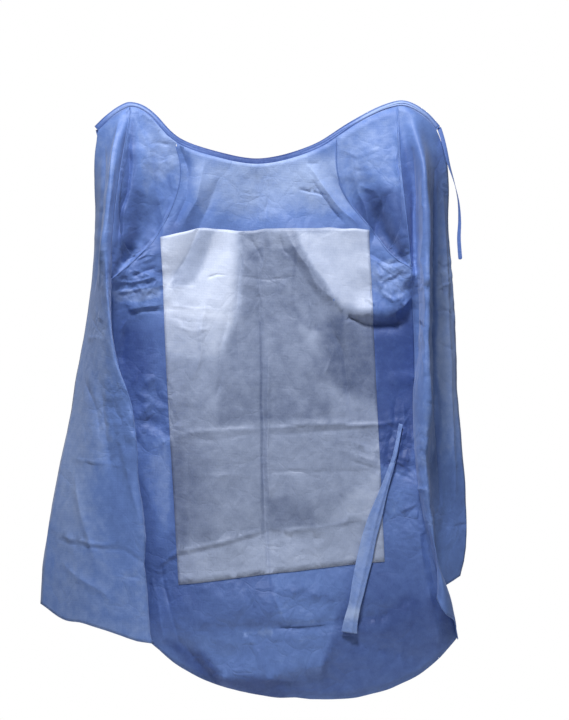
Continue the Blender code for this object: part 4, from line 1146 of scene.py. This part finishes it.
# reinforcement, which lies on the inside of the front and takes all its folds
reinforcement = {
    "wall": 0.0010, "levels": 2, "extra": 2, "shell": 0.0005, "clear": 0.0013, "seed": 11.0,
    # its uneven top edge, where the change fades in from 0.31 m down: a bump and small waves
    "topBelow": 0.31, "topFade": 0.07, "bump": 0.010, "bumpAt": -0.140, "bumpWidth": 0.050,
    "waves": 0.003, "waveSize": 0.028, "waveSeed": 17.0,
    "flat": (0.45, 0.77), "cutArea": 0.34, "held": "laid", "restsOn": ["front_panel"], "layer": 0.39,
    # a patch of painted shade
    "patches": [(-0.17, -0.62, 0.06, 0.20, -0.06)],
    # zones of painted shade are darker and zones of painted light whiter, over the folds and across the
    # middle
    "zones": [
        (-0.16, 10, [(-60, -231), (58, -231), (60, -381), (75, -445), (139, -552), (139, -648), (-107, -648),
            (-103, -509), (-79, -456), (-62, -381)]),
        (-0.16, 5, [(62, -246), (71, -263), (105, -317), (141, -368), (171, -409), (171, -445), (96, -445),
            (75, -434), (58, -402), (56, -295)]),
        (-0.30, 20, [(113, -445), (171, -419), (242, -434), (255, -599), (208, -591), (150, -563),
            (113, -514)]),
        (0.26, 20, [(-235, -253), (-190, -220), (-62, -220), (-62, -381), (-73, -428), (-103, -501),
            (-161, -505), (-225, -488), (-231, -381)]),
        (0.18, 18, [(-235, -253), (-190, -220), (-66, -220), (-68, -381), (-92, -434), (-161, -449),
            (-231, -424)]),
        (-0.40, 7, [(-141, -227), (-109, -227), (-128, -276), (-154, -342), (-203, -353), (-199, -323),
            (-169, -278)]),
        (0.28, 5, [(64, -235), (220, -223), (238, -398), (171, -398), (141, -364), (105, -312), (71, -259)]),
        (0.16, 6, [(-47, -248), (-11, -244), (-6, -268), (-43, -274)]),
        (0.16, 6, [(0, -231), (49, -235), (53, -265), (11, -274)]),
        (-0.12, 6, [(-47, -268), (-9, -268), (-11, -300), (-28, -304), (-43, -291)]),
        (-0.12, 6, [(28, -274), (60, -263), (60, -300), (34, -291)]),
        (0.12, 5, [(-220, -394), (-75, -407), (-73, -428), (-220, -413)]),
        (-0.14, 1.5, [(-13, -424), (-9, -424), (-4, -681), (-2, -895), (-9, -895), (-11, -681)]),
        (-0.05, 20, [(-225, -595), (257, -595), (268, -862), (0, -884), (-182, -912), (-214, -766)]),
        (-0.10, 25, [(-225, -702), (-128, -713), (-107, -873), (-182, -905), (-214, -809)]),
        (-0.16, 8, [(4, -813), (43, -800), (101, -815), (109, -865), (6, -877)]),
        (0.20, 6, [(143, -854), (171, -798), (246, -755), (268, -856)]),
        (0.08, 4, [(-182, -914), (0, -875), (75, -880), (255, -858), (268, -942), (-186, -987)]),
        (-0.10, 10, [(-214, -681), (-186, -681), (-165, -905), (-190, -912)]),
    ],
    "crumples": [(0.02, -0.60, 0.25, 0.005, 0.052)],
}
reinforcementPanel = makeSheet("reinforcementPanel", "reinforcement_panel", reinforcement)
points = meshPoints(reinforcementPanel.data)
nearTop = evenStep((points[:, 2] + reinforcement["topBelow"]) / reinforcement["topFade"])
bump = np.exp(-((points[:, 0] - reinforcement["bumpAt"]) / reinforcement["bumpWidth"]) ** 2)
wave = smoothNoise(points[:, 0], 0 * points[:, 2], reinforcement["waveSize"], reinforcement["waveSeed"]) - 0.5
points[:, 2] += nearTop * (reinforcement["bump"] * bump + reinforcement["waves"] * wave)
lift = reliefOf(points[:, 0], points[:, 2], (), reinforcement["crumples"], reinforcement["seed"])
for i, (x, y, z) in enumerate(points):
    behind = firstHit(frontFace, x, z)
    if behind is not None:
        points[i, 1] = behind - reinforcement["clear"] - max(0.0, lift[i])
setPoints(reinforcementPanel.data, points)
finishSheet(reinforcementPanel, "reinforcement_panel", reinforcement, filmBacked)
print("reinforcement made")

# neck ties, the binding's two free ends, which twist as they hang
tape = {"width": 0.010, "thick": 0.0012, "points": 61, "layer": 0.45, "seed": 9.0}
ties = {    # turn in degrees from the binding to the free end
    "right": {
        "turn": 150.0,
        "route": [(0.3740, 0.0126, -0.0100), (0.3805, 0.0115, -0.0310), (0.3870, 0.0095, -0.0560),
                  (0.3950, 0.0080, -0.0920), (0.4060, 0.0070, -0.1290), (0.4150, 0.0065, -0.1700),
                  (0.4175, 0.0060, -0.2120), (0.4160, 0.0060, -0.2500), (0.4190, 0.0060, -0.2950)],
    },
    "left": {
        "turn": 20.0,
        "route": [(-0.3600, 0.0150, -0.0140), (-0.3540, 0.0210, -0.0400), (-0.3500, 0.0280, -0.0750),
                  (-0.3480, 0.0360, -0.1200), (-0.3480, 0.0420, -0.1650), (-0.3490, 0.0480, -0.2100),
                  (-0.3500, 0.0530, -0.2550), (-0.3510, 0.0560, -0.3060)],
    },
}


def smoothRoute(stops, count):
    # evenly shared points on a smooth curve through the stops
    stops = [Vector(s) for s in stops]
    ends = [stops[0] * 2 - stops[1]] + stops + [stops[-1] * 2 - stops[-2]]
    points = []
    for i in range(count):
        at = i / (count - 1) * (len(stops) - 1)
        k = min(int(at), len(stops) - 2)
        f = at - k
        a, b, c, d = ends[k:k + 4]
        points.append(0.5 * (2 * b + (c - a) * f + (2 * a - 5 * b + 4 * c - d) * f * f
                             + (3 * b - a - 3 * c + d) * f**3))
    return points


for side, spec in ties.items():
    path = smoothRoute(spec["route"], tape["points"])
    across, out = [], []
    for i in range(len(path)):
        angle = math.radians(spec["turn"]) * evenStep(i / (len(path) - 1))
        along = directionAt(path, i)
        flat = Vector((math.cos(angle), math.sin(angle), 0.0))
        flat = (flat - along * flat.dot(along)).normalized()
        across.append(flat)
        out.append(along.cross(flat))
    tie = sweepStrip("neckTie" + side.title(), path, across, out, tape["width"], tape["thick"])
    tie.data.materials.append(foldedBinding)
    setPaintedShadeAndWrinkles(tie, tape["layer"], (), tape["seed"])
    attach(tie, "root")
    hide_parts("neck_tie_" + side)
print("ties made")

# waist belt, which hangs in front of the panels
belt = {"wall": 0.0010, "levels": 3, "shell": 0.0006, "clear": 0.0030, "layer": 0.62, "seed": 71.0,
        # centre line x, z and the share of the full width that shows at each of its points
        "line": [(0.295, -0.648), (0.280, -0.713), (0.259, -0.777), (0.235, -0.852), (0.214, -0.937),
                 (0.190, -1.036), (0.180, -1.091)],
        "share": [0.45, 0.50, 0.62, 0.85, 1.0, 0.80, 1.0], "half": 0.017,
        # a lengthwise fold, placed and sized in half widths, and small crumples
        "fold": 0.0025, "foldAt": 0.25, "foldWidth": 0.25, "crumple": 0.002, "crumpleSize": 0.045,
        # patches: a painted highlight on the fold at its foot, and a paler band higher up
        "patches": [(0.19, -1.055, 0.03, 0.02, 0.35), (0.205, -0.90, 0.02, 0.05, 0.15)],
        "flat": (0.034, 0.48), "cutArea": 0.0155, "held": "hung"}
waistBelt = makeSheet("waistBelt", "waist_belt", belt)
points = meshPoints(waistBelt.data)
line = np.array(belt["line"])
centre = np.interp(-points[:, 2], -line[:, 1], line[:, 0])
share = np.interp(-points[:, 2], -line[:, 1], belt["share"])
crossed = (points[:, 0] - centre) / belt["half"]
points[:, 0] = centre + (points[:, 0] - centre) * share
for i, (x, y, z) in enumerate(points):
    behind = firstHit(frontFace, x, z)
    if behind is not None:
        points[i, 1] = min(y, behind - belt["clear"])
points[:, 1] -= belt["fold"] * np.exp(-((crossed - belt["foldAt"]) / belt["foldWidth"]) ** 2)
crumple = crushed(points[:, 0] * 2, points[:, 2], belt["crumpleSize"], belt["seed"] + 2) - 0.5
points[:, 1] -= belt["crumple"] * crumple
setPoints(waistBelt.data, points)
finishSheet(waistBelt, "waist_belt", belt, spunbond)
print("belt made")

# floor, light and surroundings
studio = {"floor": -1.62, "floorSize": 2.3, "floorColour": "#F2F2F0", "floorRoughness": 0.8,
          "surround": 0.19, "surroundColour": (0.92, 0.95, 1.0, 1.0), "boxHeight": 0.6}
softboxes = {    # the main one is high in front, the other lights the far side
    "frontSoftbox": {"power": 74.0, "place": (-0.20, -1.45, 1.55), "aim": (0.02, 0.0, -0.45), "size": 0.7},
    "backSoftbox": {"power": 60.0, "place": (0.70, 2.40, 1.00), "aim": (0.0, 0.0, -0.60), "size": 1.0},
}
bpy.ops.mesh.primitive_plane_add(size=studio["floorSize"], location=(0.0, 0.0, studio["floor"]))
floor = bpy.context.active_object
floor.name = "floor"
selectOnly(floor)
bpy.ops.object.transform_apply(location=True, rotation=True, scale=True)
paint = bpy.data.materials.new("paleStudioFloor")
paint.use_nodes = True
paintInputs = paint.node_tree.nodes["Principled BSDF"].inputs
paintInputs["Base Color"].default_value = linear(studio["floorColour"])
paintInputs["Roughness"].default_value = studio["floorRoughness"]
floor.data.materials.append(paint)

for name, spec in softboxes.items():
    lampData = bpy.data.lights.new(name, "AREA")
    lampData.shape = "RECTANGLE"
    lampData.size = spec["size"]
    lampData.size_y = spec["size"] * studio["boxHeight"]
    lampData.energy = spec["power"]
    lamp = bpy.data.objects.new(name, lampData)
    bpy.context.scene.collection.objects.link(lamp)
    lamp.location = spec["place"]
    lamp.rotation_euler = (Vector(spec["aim"]) - lamp.location).to_track_quat("-Z", "Y").to_euler()

world = bpy.data.worlds.new("studio")
bpy.context.scene.world = world
world.use_nodes = True
sky = world.node_tree
seen = addNode(sky, "ShaderNodeLightPath").outputs["Is Camera Ray"]
fill = sky.nodes["Background"]
fill.inputs["Color"].default_value = studio["surroundColour"]
fill.inputs["Strength"].default_value = studio["surround"]
plain = addNode(sky, "ShaderNodeBackground", {"Color": (1.0, 1.0, 1.0, 1.0), "Strength": 1.0})
choice = addNode(sky, "ShaderNodeMixShader", {}, {0: seen, 1: fill.outputs["Background"],
                                                 2: plain.outputs["Background"]})
sky.links.new(choice.outputs["Shader"], sky.nodes["World Output"].inputs["Surface"])
bpy.context.scene.view_settings.view_transform = "Standard"
print("studio made")
